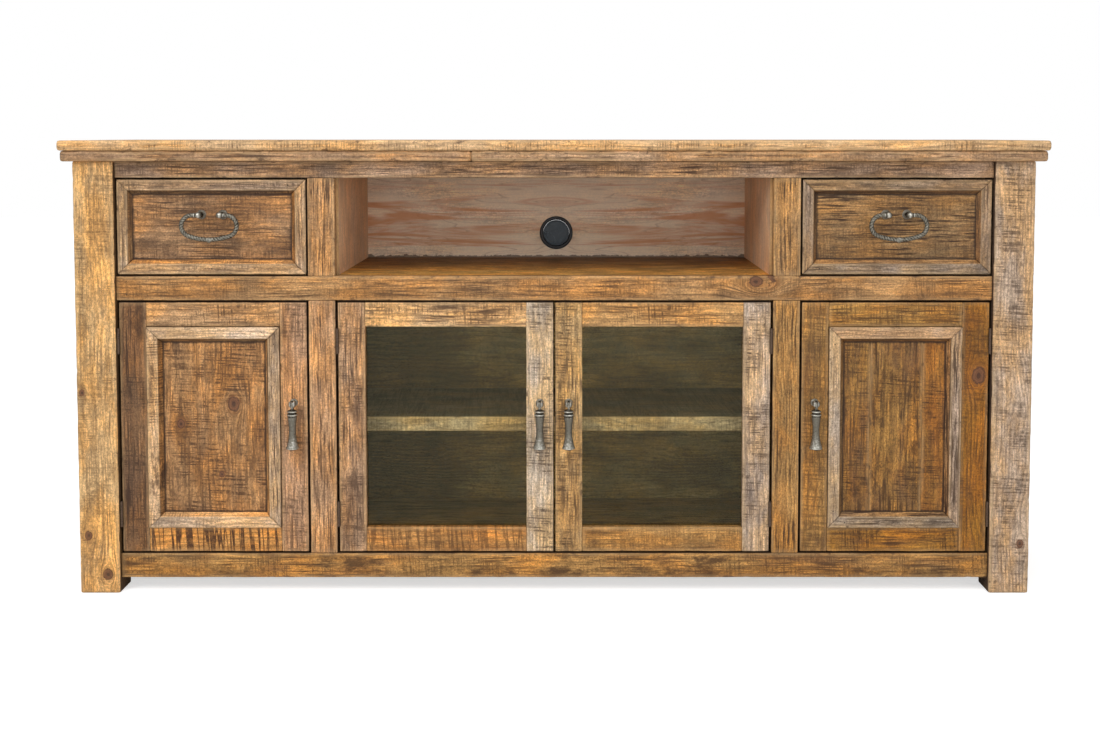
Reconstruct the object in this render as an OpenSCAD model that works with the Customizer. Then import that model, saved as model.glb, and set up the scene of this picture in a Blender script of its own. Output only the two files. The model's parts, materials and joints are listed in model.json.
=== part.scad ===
// Rustic pine tv stand: an open cubby and two drawers over two wooden and two glazed doors.
// The origin is the middle of the footprint on the floor, +X to the right, +Y to the back, +Z up.

/* [Overall] */
// Width over the top board
cabinet_w = 1930; // [1780:5:2100]
// Depth over the top board
cabinet_d = 460; // [420:5:560]
// Height to the upper face of the top
cabinet_h = 900; // [870:5:960]

/* [Top] */
// Thickness of the upper board
top_t = 20; // [14:1:24]
// Rounding of the top's edges
top_round = 6; // [2:0.5:6.5]
// Seams between the planks of the upper board, from its middle
top_seams = [-106, 12, 110]; // [-180:1:180]
// Thickness of the strips under the board's edge
strip_t = 21; // [15:1:25]
// Width of those strips
strip_w = 60; // [45:1:80]
// How far the strips sit back from the board's edge
strip_set_back = 4.5; // [1:0.5:10]
// Where the two lengths of the front strip meet, measured from the middle
strip_joint_x = -161; // [-300:1:300]
// Overhang of the top past the legs at the front and sides
top_overhang = 22; // [15:1:30]
// Overhang of the top past the back
back_overhang = 5; // [2:1:12]

/* [Legs and face frame] */
// Width of a leg, seen from the front
leg_w = 79; // [70:1:90]
// Depth of a leg, seen from the side
leg_d = 70; // [55:1:80]
// How far the legs stand proud of the frames between them
leg_proud = 10; // [4:1:12]
// Rounding of a leg's long edges
leg_round = 3; // [1:0.5:5]
// Thickness of the face frame and of the side rails
frame_t = 22; // [19:1:26]
// Rounding of the long edges of the other boards
edge_ease = 1.5; // [0.5:0.25:2]
// Clear width of a side bay, from leg to stile
side_bay_w = 378; // [350:1:400]
// Width of a stile between bays
stile_w = 54; // [48:1:60]
// Clearance under the bottom rail
foot_gap = 28; // [20:1:45]
// Height of the bottom rail
bottom_rail_h = 50; // [40:1:60]
// Height of the door openings
door_open_h = 506; // [480:1:530]
// Height of the middle rail
middle_rail_h = 49; // [42:1:60]
// Height of the top rail
top_rail_h = 33; // [25:1:40]

/* [Case panels] */
// Height of the upper side rails
side_top_rail_h = 70; // [50:1:90]
// Thickness of the side panels
side_panel_t = 12; // [10:1:16]
// Thickness of the back boards
back_panel_t = 12; // [9:1:15]
// Thickness of the rear rails
rear_rail_t = 22; // [18:1:28]
// Thickness of the deck under the cubby and drawers
deck_t = 18; // [15:1:22]
// Thickness of the cabinet floor
floor_t = 18; // [15:1:22]
// Thickness of the partitions between the lower bays
partition_t = 18; // [15:1:22]
// Thickness of the cubby's side boards
cubby_side_t = 18; // [15:1:22]
// How much of a cubby side shows past its post
cubby_side_show = 4.5; // [2:0.5:8]

/* [Shelves] */
// Set-back of the shelves from the face frame
shelf_set_back = 90; // [60:1:120]
// Thickness of the centre shelf
centre_shelf_t = 30; // [22:1:34]
// Height of the centre shelf's underside
centre_shelf_z = 304; // [250:1:380]
// Thickness of the side shelves
side_shelf_t = 20; // [16:1:26]
// Height of the side shelves' undersides
side_shelf_z = 312; // [250:1:380]
// Room between a shelf's ends and the boards beside it
shelf_room = 1; // [0.5:0.5:2]
// Radius of a shelf pin
shelf_pin_r = 3.5; // [2.5:0.25:4]
// How deep a shelf pin sits in its board
shelf_pin_in = 8; // [6:0.5:8]
// How far a shelf pin stands out under the shelf
shelf_pin_out = 12; // [9:0.5:16]
// Distance from a shelf's front edge to its front pins
shelf_pin_front = 48; // [30:1:80]
// Distance from the rear legs to the rear pins
shelf_pin_back = 25; // [15:1:60]

/* [Doors] */
// Thickness of a door frame
door_t = 22; // [20:1:24]
// Shadow gap round doors and drawer fronts
door_gap = 3; // [2:0.1:4]
// Gap at a door's hinged edge, where the leaves lie
hinge_gap = 4; // [3.5:0.1:5]
// Width of a door's stiles
door_stile_w = 54; // [48:1:64]
// Height of a door's rails
door_rail_w = 49; // [44:1:60]
// Thickness of a door panel
panel_t = 10; // [8:0.5:12]
// Set-back of the panel from the frame's face
panel_set_back = 5; // [3:0.5:7]
// How deep the panel sits in the frame's groove
panel_tongue = 8; // [5:0.5:10]
// Seams between the boards of the right door's panel, from its middle
panel_seams = [-48, 56]; // [-90:1:90]
// Thickness of the glass
glass_t = 4; // [3:0.5:5]
// Set-back of the glass from the frame's face
glass_set_back = 13; // [11:0.5:14]
// Width of the rabbet that holds the glass and its beads
rabbet_w = 10; // [8:0.5:12]

/* [Mouldings] */
// Width of the flat of a door moulding
door_mould_flat = 22.5; // [16:0.5:26]
// Width of the slope of a door moulding
door_mould_slope = 7.5; // [5:0.5:12]
// Height of a door moulding above its panel
door_mould_h = 11; // [7:0.5:12]
// Width of the flat of a drawer moulding
drawer_mould_flat = 21; // [15:0.5:24]
// Width of the slope of a drawer moulding
drawer_mould_slope = 8; // [5:0.5:12]
// Height of a drawer moulding above its front
drawer_mould_h = 9; // [6:0.5:10]
// Height of a moulding's inner lip
mould_lip = 1.5; // [1:0.5:4]

/* [Hinges] */
// Height of a hinge barrel without its caps
hinge_h = 48; // [40:1:60]
// Distance from a door's end to the barrel's near end
hinge_inset = 53; // [40:1:70]
// Radius of the barrel
knuckle_r = 3.1; // [2.7:0.05:3.6]
// Radius of the hinge pin
hinge_pin_r = 1.2; // [1:0.05:1.4]
// Radial clearance of the pins and pivots in their bores
pin_clear = 0.05; // [0.03:0.01:0.08]
// Thickness of a leaf
leaf_t = 1.2; // [0.9:0.05:1.5]
// Width of a leaf along the door's edge
leaf_w = 20; // [14:0.5:21]
// Room between the barrel and the wood beside and behind it
barrel_room = 0.3; // [0.3:0.05:0.5]
// Height of the cap on each end of a hinge pin
hinge_cap_h = 1.5; // [1:0.25:2.5]

/* [Drop pulls] */
// Distance from the door's face to the pivot
drop_reach = 18; // [18:0.5:19]
// Height of the pivot above the door's middle
drop_rise = 50; // [0:1:100]
// Length from the pivot to the tip
drop_l = 92; // [84:1:110]
// Radius of the two collars
drop_collar_r = 10.4; // [9.5:0.1:11]
// Radius under the collars
drop_top_r = 9.2; // [8.5:0.1:9.5]
// Radius of the waist
drop_waist_r = 6.9; // [6:0.1:7.5]
// Radius of the flared foot
drop_foot_r = 12.8; // [11.5:0.1:13]
// Radius of the slotted ball that holds the drop
knob_r = 7.3; // [6.8:0.1:8]
// Width of the slot in the ball
slot_w = 5; // [4.5:0.1:5.5]
// Radius of the pivot pin
pull_pin_r = 1.2; // [1:0.05:1.5]

/* [Drawers] */
// Thickness of a drawer front behind its moulding
drawer_front_t = 22; // [18:1:24]
// Room between a drawer's box and the back
drawer_back_room = 10; // [5:0.5:40]
// Room between a drawer's box and the kickers above it
drawer_top_room = 7.7; // [2:0.1:30]
// Thickness of a drawer's sides and back
drawer_side_t = 12; // [10:1:15]
// Thickness of a drawer's bottom
drawer_bottom_t = 6; // [4:0.5:9]
// Height of a drawer's bottom above its sides' lower edge
drawer_bottom_up = 7; // [5:0.5:12]
// Height of the runners that carry a drawer
runner_h = 10; // [7:1:14]
// How far a runner reaches under a drawer's side
runner_reach = 20; // [14:1:30]
// Running gap between a drawer and its runner
runner_gap = 0.3; // [0.2:0.1:0.5]
// Height of the guide blocks beside a drawer
guide_h = 50; // [30:1:80]
// Height of the kickers above a drawer
kicker_h = 18; // [12:1:18]

/* [Bail pulls] */
// Distance from the drawer front to the pivot
bail_reach = 25; // [22:0.5:26]
// Height of a bail's pivot up the drawer's panel, as a share of the panel inside its moulding
bail_place = 0.7; // [0.6:0.01:0.75]
// Spacing of the two posts
post_spacing = 42; // [38:1:60]
// Width over the bail
bail_w = 118; // [110:1:135]
// Height from the pivot to the bail's lowest edge
bail_drop = 52.5; // [48:0.5:60]
// Radius of the bail's rod
bail_rod_r = 3.7; // [3.2:0.1:4.2]
// Radius of the bail's corners
bail_corner_r = 21; // [18:0.5:22]
// Radius of a post's rosette
rosette_r = 9.5; // [8:0.5:13]

/* [Cable port] */
// Height of the port's middle above the deck
port_rise = 56; // [45:1:90]
// Radius of the hole in the back
port_hole_r = 32; // [28:0.5:34]
// Width of the sleeve's flange past the hole
port_flange = 5.5; // [4:0.5:8]
// Thickness of the sleeve's wall
port_wall = 2.4; // [2:0.1:3]
// How far the cap can be pulled out
cap_travel = 60; // [30:5:100]

/* [Hidden] */
$fn = 48;
joint_gap = 0.1; // glue line between boards of one piece of joinery
play = 0.3; // gap between parts that move past each other
over = 1; // how far a cut reaches past what it cuts
glass_room = 1; // room round the glass in its rabbet

// Door catches
catch_w = 40;
catch_h = 16;
catch_d = 14;
strike_t = 1.2;

// Drop pulls
tongue_r = 4.4;
slot_back = 5.4; // from the pivot to the back of the ball's slot
knob_neck_r = 3.2;
knob_foot_r = 8;
knob_foot_h = 3;
collar_round = 2.4;
collar_gap = 1.8; // between the two collars
low_collar_z = -21;
foot_rim = 5; // height of the cone under the flared foot

// Bail pulls
egg_l = 8; // half the length of a post's head
egg_r = 5.9;
egg_steps = 14;
egg_tip = egg_l * 0.88;
bail_neck_r = 3;
rosette_h = 3.5;
bail_pin_r = 1.6;
bail_pin_in = 4.5;
bail_collar_r = 4.8;
bail_collar_w = 2;
bail_collar_x = post_spacing / 2 + egg_tip + play;
bail_steps = 12; // steps round a corner of the bail
rod_sides = 10;
lozenge = [8, 5.2]; // half the length and height of the flat in the bail's middle

// Cable port
port_press = 0.1; // the sleeve's room in its hole
port_bore_r = port_hole_r - port_wall - port_press;
port_flange_t = 3;
port_tail = 3; // how far the sleeve reaches past the back
port_ledge = 2;
port_ease = 1.5;
cap_t = 4;
cap_front = port_flange_t + 0.5;
cap_skirt_h = 6;
cap_skirt_t = 1.5;
gate_x = port_hole_r - 4; // from the cap's middle to the middle of its gate's lobe
gate_r = 19;
gate_turn = 219;
gate_groove = [1.2, 0.8]; // width and depth

pine = "#b98a55";
pale_pine = "#cda877";
dark_pine = "#94683c";
pewter = "#8a8a84";
bronze = "#4a3d33";
black = "#22262a";

// Widths, from the middle outwards
half_w = cabinet_w / 2;
leg_out_x = half_w - top_overhang;
leg_in_x = leg_out_x - leg_w;
stile_out_x = leg_in_x - side_bay_w;
stile_in_x = stile_out_x - stile_w;
side_rail_in_x = leg_out_x - leg_proud - frame_t;
side_in_x = side_rail_in_x - side_panel_t;
partition_in_x = (stile_in_x + stile_out_x - partition_t) / 2;
partition_out_x = partition_in_x + partition_t;
cubby_in_x = stile_in_x - cubby_side_show;
cubby_out_x = cubby_in_x + cubby_side_t;

// Depths, from the front backwards
leg_front_y = -cabinet_d / 2 + top_overhang;
leg_back_y = leg_front_y + leg_d;
face_y = leg_front_y + leg_proud;
frame_back_y = face_y + frame_t;
rear_y = cabinet_d / 2 - back_overhang;
rear_leg_front_y = rear_y - leg_d;
back_front_y = rear_y - back_panel_t;
rear_rail_y = back_front_y - rear_rail_t;
shelf_front_y = face_y + shelf_set_back;
shelf_pin_y = [shelf_front_y + shelf_pin_front, rear_leg_front_y - shelf_pin_back];

// Heights, from the floor upwards
floor_z = foot_gap + bottom_rail_h;
door_top_z = floor_z + door_open_h;
deck_z = door_top_z + middle_rail_h;
leg_top_z = cabinet_h - top_t - strip_t;
drawer_top_z = leg_top_z - top_rail_h;
door_low_z = floor_z + door_gap;
door_high_z = door_top_z - door_gap;
door_mid_z = (door_low_z + door_high_z) / 2;

// Doors: the free edge and the hinged edge of the right-hand pair
wood_door_x = [stile_out_x + door_gap, leg_in_x - hinge_gap];
glass_door_x = [door_gap / 2, stile_in_x - hinge_gap];
panel_y = [face_y + panel_set_back, face_y + panel_set_back + panel_t];
glass_y = [face_y + glass_set_back, face_y + glass_set_back + glass_t];
hinge_y = face_y - knuckle_r - barrel_room;
hinge_low_z = [door_low_z + hinge_inset, door_high_z - hinge_inset - hinge_h];
knuckle_h = hinge_h / 3;
pull_inset = door_stile_w / 2;
drop_y = face_y - drop_reach;
drop_z = door_mid_z + drop_rise;

// Drawers: the edges of the right-hand front, flush with the face frame
drawer_x = [stile_out_x + door_gap, leg_in_x - door_gap];
drawer_z = [deck_z + door_gap, drawer_top_z - door_gap];
drawer_mid_x = (drawer_x[0] + drawer_x[1]) / 2;
drawer_panel_y = face_y + drawer_mould_h;
drawer_box_y = drawer_panel_y + drawer_front_t;
drawer_back_y = back_front_y - drawer_back_room;
drawer_box_z = [deck_z + runner_h + runner_gap, drawer_top_z - kicker_h - drawer_top_room];
bail_y = drawer_panel_y - bail_reach;
drawer_inner_z = [drawer_z[0] + drawer_mould_flat + drawer_mould_slope,
    drawer_z[1] - drawer_mould_flat - drawer_mould_slope];
bail_z = drawer_inner_z[0] + bail_place * (drawer_inner_z[1] - drawer_inner_z[0]);

port_z = deck_z + port_rise;

// A rectangle whose corners are rounded with true arcs
module eased_rect(w, h, r) {
    translate([r, 0]) square([w - 2 * r, h]);
    translate([0, r]) square([w, h - 2 * r]);
    for (x = [r, w - r], y = [r, h - r]) translate([x, y]) circle(r = r);
}

// A board between two corners, its long edges along the grain rounded
module board(low, high, grain = "x", ease = edge_ease) {
    size = high - low;
    translate(low)
        if (grain == "x")
            rotate([90, 0, 90]) linear_extrude(size[0]) eased_rect(size[1], size[2], ease);
        else if (grain == "y")
            translate([0, size[1], 0]) rotate([90, 0, 0])
                linear_extrude(size[1]) eased_rect(size[0], size[2], ease);
        else
            linear_extrude(size[2]) eased_rect(size[0], size[1], ease);
}

// A plain block between two corners
module block(low, high) {
    translate(low) cube(high - low);
}

module both_sides() {
    children();
    mirror([1, 0, 0]) children();
}

// A board with its width and ends rounded alike, as on a table top
module rounded_slab(low, high, r) {
    size = high - low;
    intersection() {
        translate(low) rotate([90, 0, 90]) linear_extrude(size[0]) eased_rect(size[1], size[2], r);
        translate([low[0], high[1], low[2]]) rotate([90, 0, 0])
            linear_extrude(size[1]) eased_rect(size[0], size[2], r);
    }
}

// A horizontal panel that fits round the four legs
module notched_panel(low_z, high_z) {
    translate([0, 0, low_z]) linear_extrude(high_z - low_z) {
        translate([-leg_in_x, frame_back_y]) square([2 * leg_in_x, back_front_y - frame_back_y]);
        translate([-side_in_x, leg_back_y]) square([2 * side_in_x, rear_leg_front_y - leg_back_y]);
    }
}

// Top

// The upper board, in planks between the seams
module top_panel() {
    low = [-half_w, -cabinet_d / 2, cabinet_h - top_t];
    high = [half_w, cabinet_d / 2, cabinet_h];
    edges = concat([low[1] - joint_gap], top_seams, [high[1] + joint_gap]);
    color(pale_pine) for (i = [0:len(edges) - 2]) intersection() {
        rounded_slab(low, high, top_round);
        block([low[0], edges[i] + joint_gap / 2, low[2]], [high[0], edges[i + 1] - joint_gap / 2, high[2]]);
    }
}

module top_edge_strips() {
    out_x = half_w - strip_set_back;
    out_y = cabinet_d / 2 - strip_set_back;
    in_y = out_y - strip_w;
    high_z = leg_top_z + strip_t;
    color(pine) {
        board([-out_x, -out_y, leg_top_z], [strip_joint_x - joint_gap, -in_y, high_z], "x", top_round);
        board([strip_joint_x, -out_y, leg_top_z], [out_x, -in_y, high_z], "x", top_round);
        board([-out_x, in_y, leg_top_z], [out_x, out_y, high_z], "x", top_round);
        both_sides() {
            board([out_x - strip_w, -in_y + joint_gap, leg_top_z], [out_x, in_y - joint_gap, high_z], "y", top_round);
            board([cubby_in_x - strip_w / 3, -in_y + joint_gap, leg_top_z],
                [cubby_in_x + strip_w * 2 / 3, in_y - joint_gap, high_z], "y");
        }
    }
}

// Legs, rails and stiles

module front_legs() {
    color(pale_pine) both_sides()
        board([leg_in_x, leg_front_y, 0], [leg_out_x, leg_back_y, leg_top_z], "z", leg_round);
}

module rear_legs() {
    color(pine) both_sides()
        board([leg_in_x, rear_leg_front_y, 0], [leg_out_x, rear_y, leg_top_z], "z", leg_round);
}

module top_rail() {
    color(pine) board([-leg_in_x, face_y, drawer_top_z], [leg_in_x, frame_back_y, leg_top_z]);
}

module middle_rail() {
    color(pine) board([-leg_in_x, face_y, door_top_z], [leg_in_x, frame_back_y, deck_z]);
}

module bottom_rail() {
    color(pine) board([-leg_in_x, face_y, foot_gap], [leg_in_x, frame_back_y, floor_z]);
}

module frame_uprights() {
    color(pine) both_sides() {
        board([stile_in_x, face_y, floor_z], [stile_out_x, frame_back_y, door_top_z], "z");
        board([stile_in_x, face_y, deck_z], [stile_out_x, frame_back_y, drawer_top_z], "z");
    }
}

module side_rails() {
    color(pine) both_sides() {
        board([side_rail_in_x, leg_back_y, foot_gap],
            [side_rail_in_x + frame_t, rear_leg_front_y, floor_z], "y");
        board([side_rail_in_x, leg_back_y, leg_top_z - side_top_rail_h],
            [side_rail_in_x + frame_t, rear_leg_front_y, leg_top_z], "y");
    }
}

module side_panels() {
    color(dark_pine) difference() {
        both_sides()
            block([side_in_x, leg_back_y, foot_gap], [side_rail_in_x, rear_leg_front_y, leg_top_z]);
        both_sides() shelf_pin_bores(side_in_x, 1, side_shelf_z);
    }
}

module rear_rails() {
    color(dark_pine) {
        board([-leg_in_x, rear_rail_y, foot_gap], [leg_in_x, back_front_y, floor_z - floor_t]);
        board([-leg_in_x, rear_rail_y, drawer_top_z], [leg_in_x, back_front_y, leg_top_z]);
    }
}

// Panels inside the case

module deck_panel() {
    color(dark_pine) notched_panel(deck_z - deck_t, deck_z);
}

module floor_panel() {
    color(dark_pine) notched_panel(floor_z - floor_t, floor_z);
}

module back_panels() {
    seam_x = cubby_in_x + cubby_side_t / 2;
    color(dark_pine) {
        difference() {
            block([-seam_x, back_front_y, foot_gap], [seam_x, rear_y, leg_top_z]);
            translate([0, rear_y + 1, port_z]) rotate([90, 0, 0]) cylinder(r = port_hole_r, h = back_panel_t + 2);
        }
        both_sides() block([seam_x + joint_gap, back_front_y, foot_gap], [leg_in_x, rear_y, leg_top_z]);
    }
}

module cubby_sides() {
    color(dark_pine) both_sides() difference() {
        block([cubby_in_x, frame_back_y, deck_z], [cubby_out_x, back_front_y, leg_top_z]);
        block([cubby_in_x - 1, rear_rail_y, drawer_top_z], [cubby_out_x + 1, back_front_y + 1, leg_top_z + 1]);
    }
}

module partitions() {
    color(dark_pine) difference() {
        both_sides()
            block([partition_in_x, frame_back_y, floor_z], [partition_out_x, back_front_y, deck_z - deck_t]);
        both_sides() {
            shelf_pin_bores(partition_in_x, 1, centre_shelf_z);
            shelf_pin_bores(partition_out_x, -1, side_shelf_z);
        }
    }
}

// Shelves and the pins that carry them

// Bores for one pair of pins, going into a board from its face at x
module shelf_pin_bores(x, into, under_z) {
    for (y = shelf_pin_y) translate([x - into, y, under_z - shelf_pin_r - joint_gap])
        rotate([0, into * 90, 0]) cylinder(r = shelf_pin_r + pin_clear, h = shelf_pin_in + 1);
}

// One pair of pins in the same bores
module shelf_pin_pair(x, into, under_z) {
    for (y = shelf_pin_y) translate([x - into * shelf_pin_out, y, under_z - shelf_pin_r - joint_gap])
        rotate([0, into * 90, 0]) cylinder(r = shelf_pin_r, h = shelf_pin_in + shelf_pin_out - joint_gap);
}

module center_shelf() {
    end_x = partition_in_x - shelf_room;
    color(pine) board([-end_x, shelf_front_y, centre_shelf_z],
        [end_x, back_front_y - shelf_room, centre_shelf_z + centre_shelf_t]);
}

module side_shelves() {
    in_x = partition_out_x + shelf_room;
    color(pine) both_sides() difference() {
        board([in_x, shelf_front_y, side_shelf_z],
            [side_in_x - shelf_room, back_front_y - shelf_room, side_shelf_z + side_shelf_t]);
        block([leg_in_x - shelf_room, rear_leg_front_y - shelf_room, side_shelf_z - 1],
            [side_in_x, back_front_y, side_shelf_z + side_shelf_t + 1]);
    }
}

module shelf_pins() {
    color(pewter) both_sides() {
        shelf_pin_pair(partition_in_x, 1, centre_shelf_z);
        shelf_pin_pair(partition_out_x, -1, side_shelf_z);
        shelf_pin_pair(side_in_x, 1, side_shelf_z);
    }
}

// What carries and steers the drawers: runners below, guides beside, kickers above
module drawer_runners() {
    y = [leg_back_y, rear_leg_front_y];
    walls = [[cubby_out_x, stile_out_x, 1], [side_in_x, leg_in_x, -1]];
    color(dark_pine) both_sides() for (w = walls) {
        tip_x = w[1] + w[2] * runner_reach;
        low_x = min(w[0], tip_x);
        high_x = max(w[0], tip_x);
        block([low_x, y[0], deck_z], [high_x, y[1], deck_z + runner_h]);
        block([min(w[0], w[1]), y[0], deck_z + runner_h + joint_gap],
            [max(w[0], w[1]), y[1], deck_z + runner_h + guide_h]);
        block([low_x, y[0], drawer_top_z - kicker_h], [high_x, y[1], drawer_top_z]);
    }
}

// Doors. Each is drawn for the right-hand side, between its free edge x[0] and its hinged edge x[1].

// Four boards round an opening; what is cut away at their inner edges is the child
module door_frame(x) {
    in_x = [x[0] + door_stile_w, x[1] - door_stile_w];
    y = [face_y, face_y + door_t];
    difference() {
        union() {
            board([x[0], y[0], door_low_z], [in_x[0], y[1], door_high_z], "z");
            board([in_x[1], y[0], door_low_z], [x[1], y[1], door_high_z], "z");
            board([in_x[0] + joint_gap, y[0], door_low_z], [in_x[1] - joint_gap, y[1], door_low_z + door_rail_w]);
            board([in_x[0] + joint_gap, y[0], door_high_z - door_rail_w], [in_x[1] - joint_gap, y[1], door_high_z]);
        }
        children();
    }
}

// The door's opening, made larger by a margin, between two depths
module door_opening(x, margin, y) {
    block([x[0] + door_stile_w - margin, y[0], door_low_z + door_rail_w - margin],
        [x[1] - door_stile_w + margin, y[1], door_high_z - door_rail_w + margin]);
}

module wood_door_frame() {
    door_frame(wood_door_x) door_opening(wood_door_x, panel_tongue, panel_y);
}

module glass_door_frame() {
    door_frame(glass_door_x)
        door_opening(glass_door_x, rabbet_w, [glass_y[0], face_y + door_t + 1]);
}

// The panel, in boards between the seams
module wood_door_panel(seams) {
    mid_x = (wood_door_x[0] + wood_door_x[1]) / 2;
    cuts = [for (s = seams) mid_x + s];
    edges = concat([wood_door_x[0]], cuts, [wood_door_x[1]]);
    for (i = [0:len(edges) - 2]) intersection() {
        door_opening(wood_door_x, panel_tongue - play, panel_y);
        block([edges[i] + joint_gap / 2, panel_y[0] - 1, door_low_z],
            [edges[i + 1] - joint_gap / 2, panel_y[1] + 1, door_high_z]);
    }
}

// A frame of mitred strips of one profile, its outer edges w by h, standing out towards -Y
module mitred_frame(w, h, profile_w, profile) {
    profile_h = max([for (p = profile) p[1]]);
    for (turn = [0:3]) rotate([0, 90 * turn, 0]) {
        l = turn % 2 == 0 ? w : h;
        off = (turn % 2 == 0 ? h : w) / 2;
        gap = joint_gap / 2;
        intersection() {
            translate([-l / 2, 0, -off]) rotate([180, -90, 0]) linear_extrude(l) polygon(profile);
            translate([0, over, 0]) rotate([90, 0, 0]) linear_extrude(profile_h + 2 * over)
                polygon([[-l / 2 + gap, -off - 1], [-l / 2 + gap, -off], [-l / 2 + profile_w + gap, profile_w - off],
                    [l / 2 - profile_w - gap, profile_w - off], [l / 2 - gap, -off], [l / 2 - gap, -off - 1]]);
        }
    }
}

// A moulding's section: a flat with one worn corner, then a slope down to a lip
function mould_section(flat, slope, h) =
    [[0, 0], [0, h - 1], [1, h], [flat, h], [flat + slope, mould_lip], [flat + slope, 0]];

module wood_door_moulding() {
    w = wood_door_x[1] - wood_door_x[0] - 2 * door_stile_w;
    h = door_high_z - door_low_z - 2 * door_rail_w;
    translate([(wood_door_x[0] + wood_door_x[1]) / 2, panel_y[0], door_mid_z])
        mitred_frame(w - joint_gap, h - joint_gap, door_mould_flat + door_mould_slope,
            mould_section(door_mould_flat, door_mould_slope, door_mould_h));
}

module glass_door_pane() {
    door_opening(glass_door_x, rabbet_w - glass_room, glass_y);
}

module glass_door_beads() {
    w = glass_door_x[1] - glass_door_x[0] - 2 * door_stile_w + 2 * rabbet_w;
    h = door_high_z - door_low_z - 2 * door_rail_w + 2 * rabbet_w;
    bead_t = door_t - glass_set_back - glass_t;
    translate([(glass_door_x[0] + glass_door_x[1]) / 2, face_y + door_t, door_mid_z])
        mitred_frame(w - joint_gap, h - joint_gap, rabbet_w,
            [[0, 0], [0, bead_t], [rabbet_w, bead_t], [rabbet_w, bead_t / 2], [rabbet_w - bead_t / 2, 0]]);
}

// Hinges. The leaves lie in the gap beside the door, and their knuckles share one pin in front of it.

// The pin's axis, from the hinged edge of a door
module hinge_axis(x, low_z) {
    translate([x + hinge_gap - knuckle_r - barrel_room, hinge_y, low_z]) children();
}

// One leaf with its knuckles; side is 1 on the jamb and -1 on the door
module hinge_leaf(side, knuckles) {
    jamb_x = knuckle_r + barrel_room;
    leaf_x = side > 0 ? jamb_x - leaf_t : jamb_x - hinge_gap;
    plate_y = knuckle_r + play;
    difference() {
        union() {
            translate([leaf_x, plate_y, 0]) cube([leaf_t, face_y - hinge_y + leaf_w - plate_y, hinge_h]);
            for (k = knuckles) translate([0, 0, k[0]]) {
                cylinder(r = knuckle_r, h = k[1]);
                translate([leaf_x, 0, 0]) cube([leaf_t, plate_y + leaf_t, k[1]]);
            }
        }
        translate([0, 0, -1]) cylinder(r = hinge_pin_r + pin_clear, h = hinge_h + 2);
    }
}

module jamb_leaf() {
    hinge_leaf(1, [[0, knuckle_h], [2 * knuckle_h, knuckle_h]]);
}

module door_leaf() {
    hinge_leaf(-1, [[knuckle_h + play, knuckle_h - 2 * play]]);
}

module hinge_pin() {
    translate([0, 0, -hinge_cap_h]) cylinder(r = hinge_pin_r, h = hinge_h + 2 * hinge_cap_h);
    for (z = [-hinge_cap_h, hinge_h + joint_gap])
        translate([0, 0, z]) cylinder(r = knuckle_r - play, h = hinge_cap_h - joint_gap);
}

module for_each_hinge() {
    for (x = [wood_door_x[1], glass_door_x[1]], z = hinge_low_z) hinge_axis(x, z) children();
}

module jamb_hinge_leaves() {
    color(bronze) both_sides() for_each_hinge() jamb_leaf();
}

module hinge_pins() {
    color(bronze) both_sides() for_each_hinge() hinge_pin();
}

// Each catch hangs from the back of the middle rail, its head behind the door's upper rail
module door_catches() {
    foot_y = face_y + door_t + strike_t + play;
    color(bronze) both_sides() for (x = [wood_door_x[0], glass_door_x[0]])
        translate([x + pull_inset - catch_w / 2, 0, door_top_z]) rotate([90, 0, 90]) linear_extrude(catch_w)
            polygon([[frame_back_y, 0], [frame_back_y, catch_h], [frame_back_y + catch_d, catch_h],
                [frame_back_y + catch_d, -catch_h], [foot_y, -catch_h], [foot_y, 0]]);
}

module door_hardware(x) {
    for (z = hinge_low_z) hinge_axis(x[1], z) door_leaf();
    translate([x[0] + pull_inset - catch_w / 2, face_y + door_t, door_high_z - catch_h + door_gap])
        cube([catch_w, strike_t, catch_h - 2 * door_gap]);
}

// Drop pulls. The pivot is the origin, the door's face is at +Y.

// Points along a curve that swells from one radius to another
function swell(z0, z1, r0, r1, power, steps) =
    [for (i = [0:steps]) [r0 + (r1 - r0) * pow(i / steps, power), z0 + (z1 - z0) * i / steps]];

function ring(r, z, round, steps) =
    [for (i = [0:steps]) [r - round + round * cos(-90 + 180 * i / steps), z + round * sin(-90 + 180 * i / steps)]];

// A cast drop turned about Z: tongue, two collars, slim waist, flared foot and shallow cone
module pull_drop() {
    high_collar_z = low_collar_z + 2 * collar_round + collar_gap;
    neck_z = high_collar_z + collar_round;
    waist_z = -drop_l * 0.55;
    rim_z = foot_rim - drop_l;
    tongue_w = slot_w - 2 * play;
    foot = swell(waist_z, rim_z + 1, drop_waist_r, drop_foot_r - 0.2, 2.4, 10);
    body = concat(
        [[0, -drop_l], [drop_foot_r - 1, rim_z - 1.6], [drop_foot_r, rim_z]],
        [for (i = [len(foot) - 1:-1:1]) foot[i]],
        swell(waist_z, low_collar_z - collar_round - 1, drop_waist_r, drop_top_r, 1.6, 6),
        ring(drop_collar_r, low_collar_z, collar_round, 8),
        ring(drop_collar_r, high_collar_z, collar_round, 8),
        [[tongue_w, neck_z], [0, neck_z]]
    );
    difference() {
        union() {
            rotate_extrude() polygon(body);
            translate([-tongue_w / 2, -tongue_r, neck_z - over]) cube([tongue_w, 2 * tongue_r, over - neck_z]);
            rotate([0, 90, 0]) cylinder(r = tongue_r, h = tongue_w, center = true);
        }
        rotate([0, 90, 0]) cylinder(r = pull_pin_r + pin_clear, h = slot_w * 2, center = true);
    }
}

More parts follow.
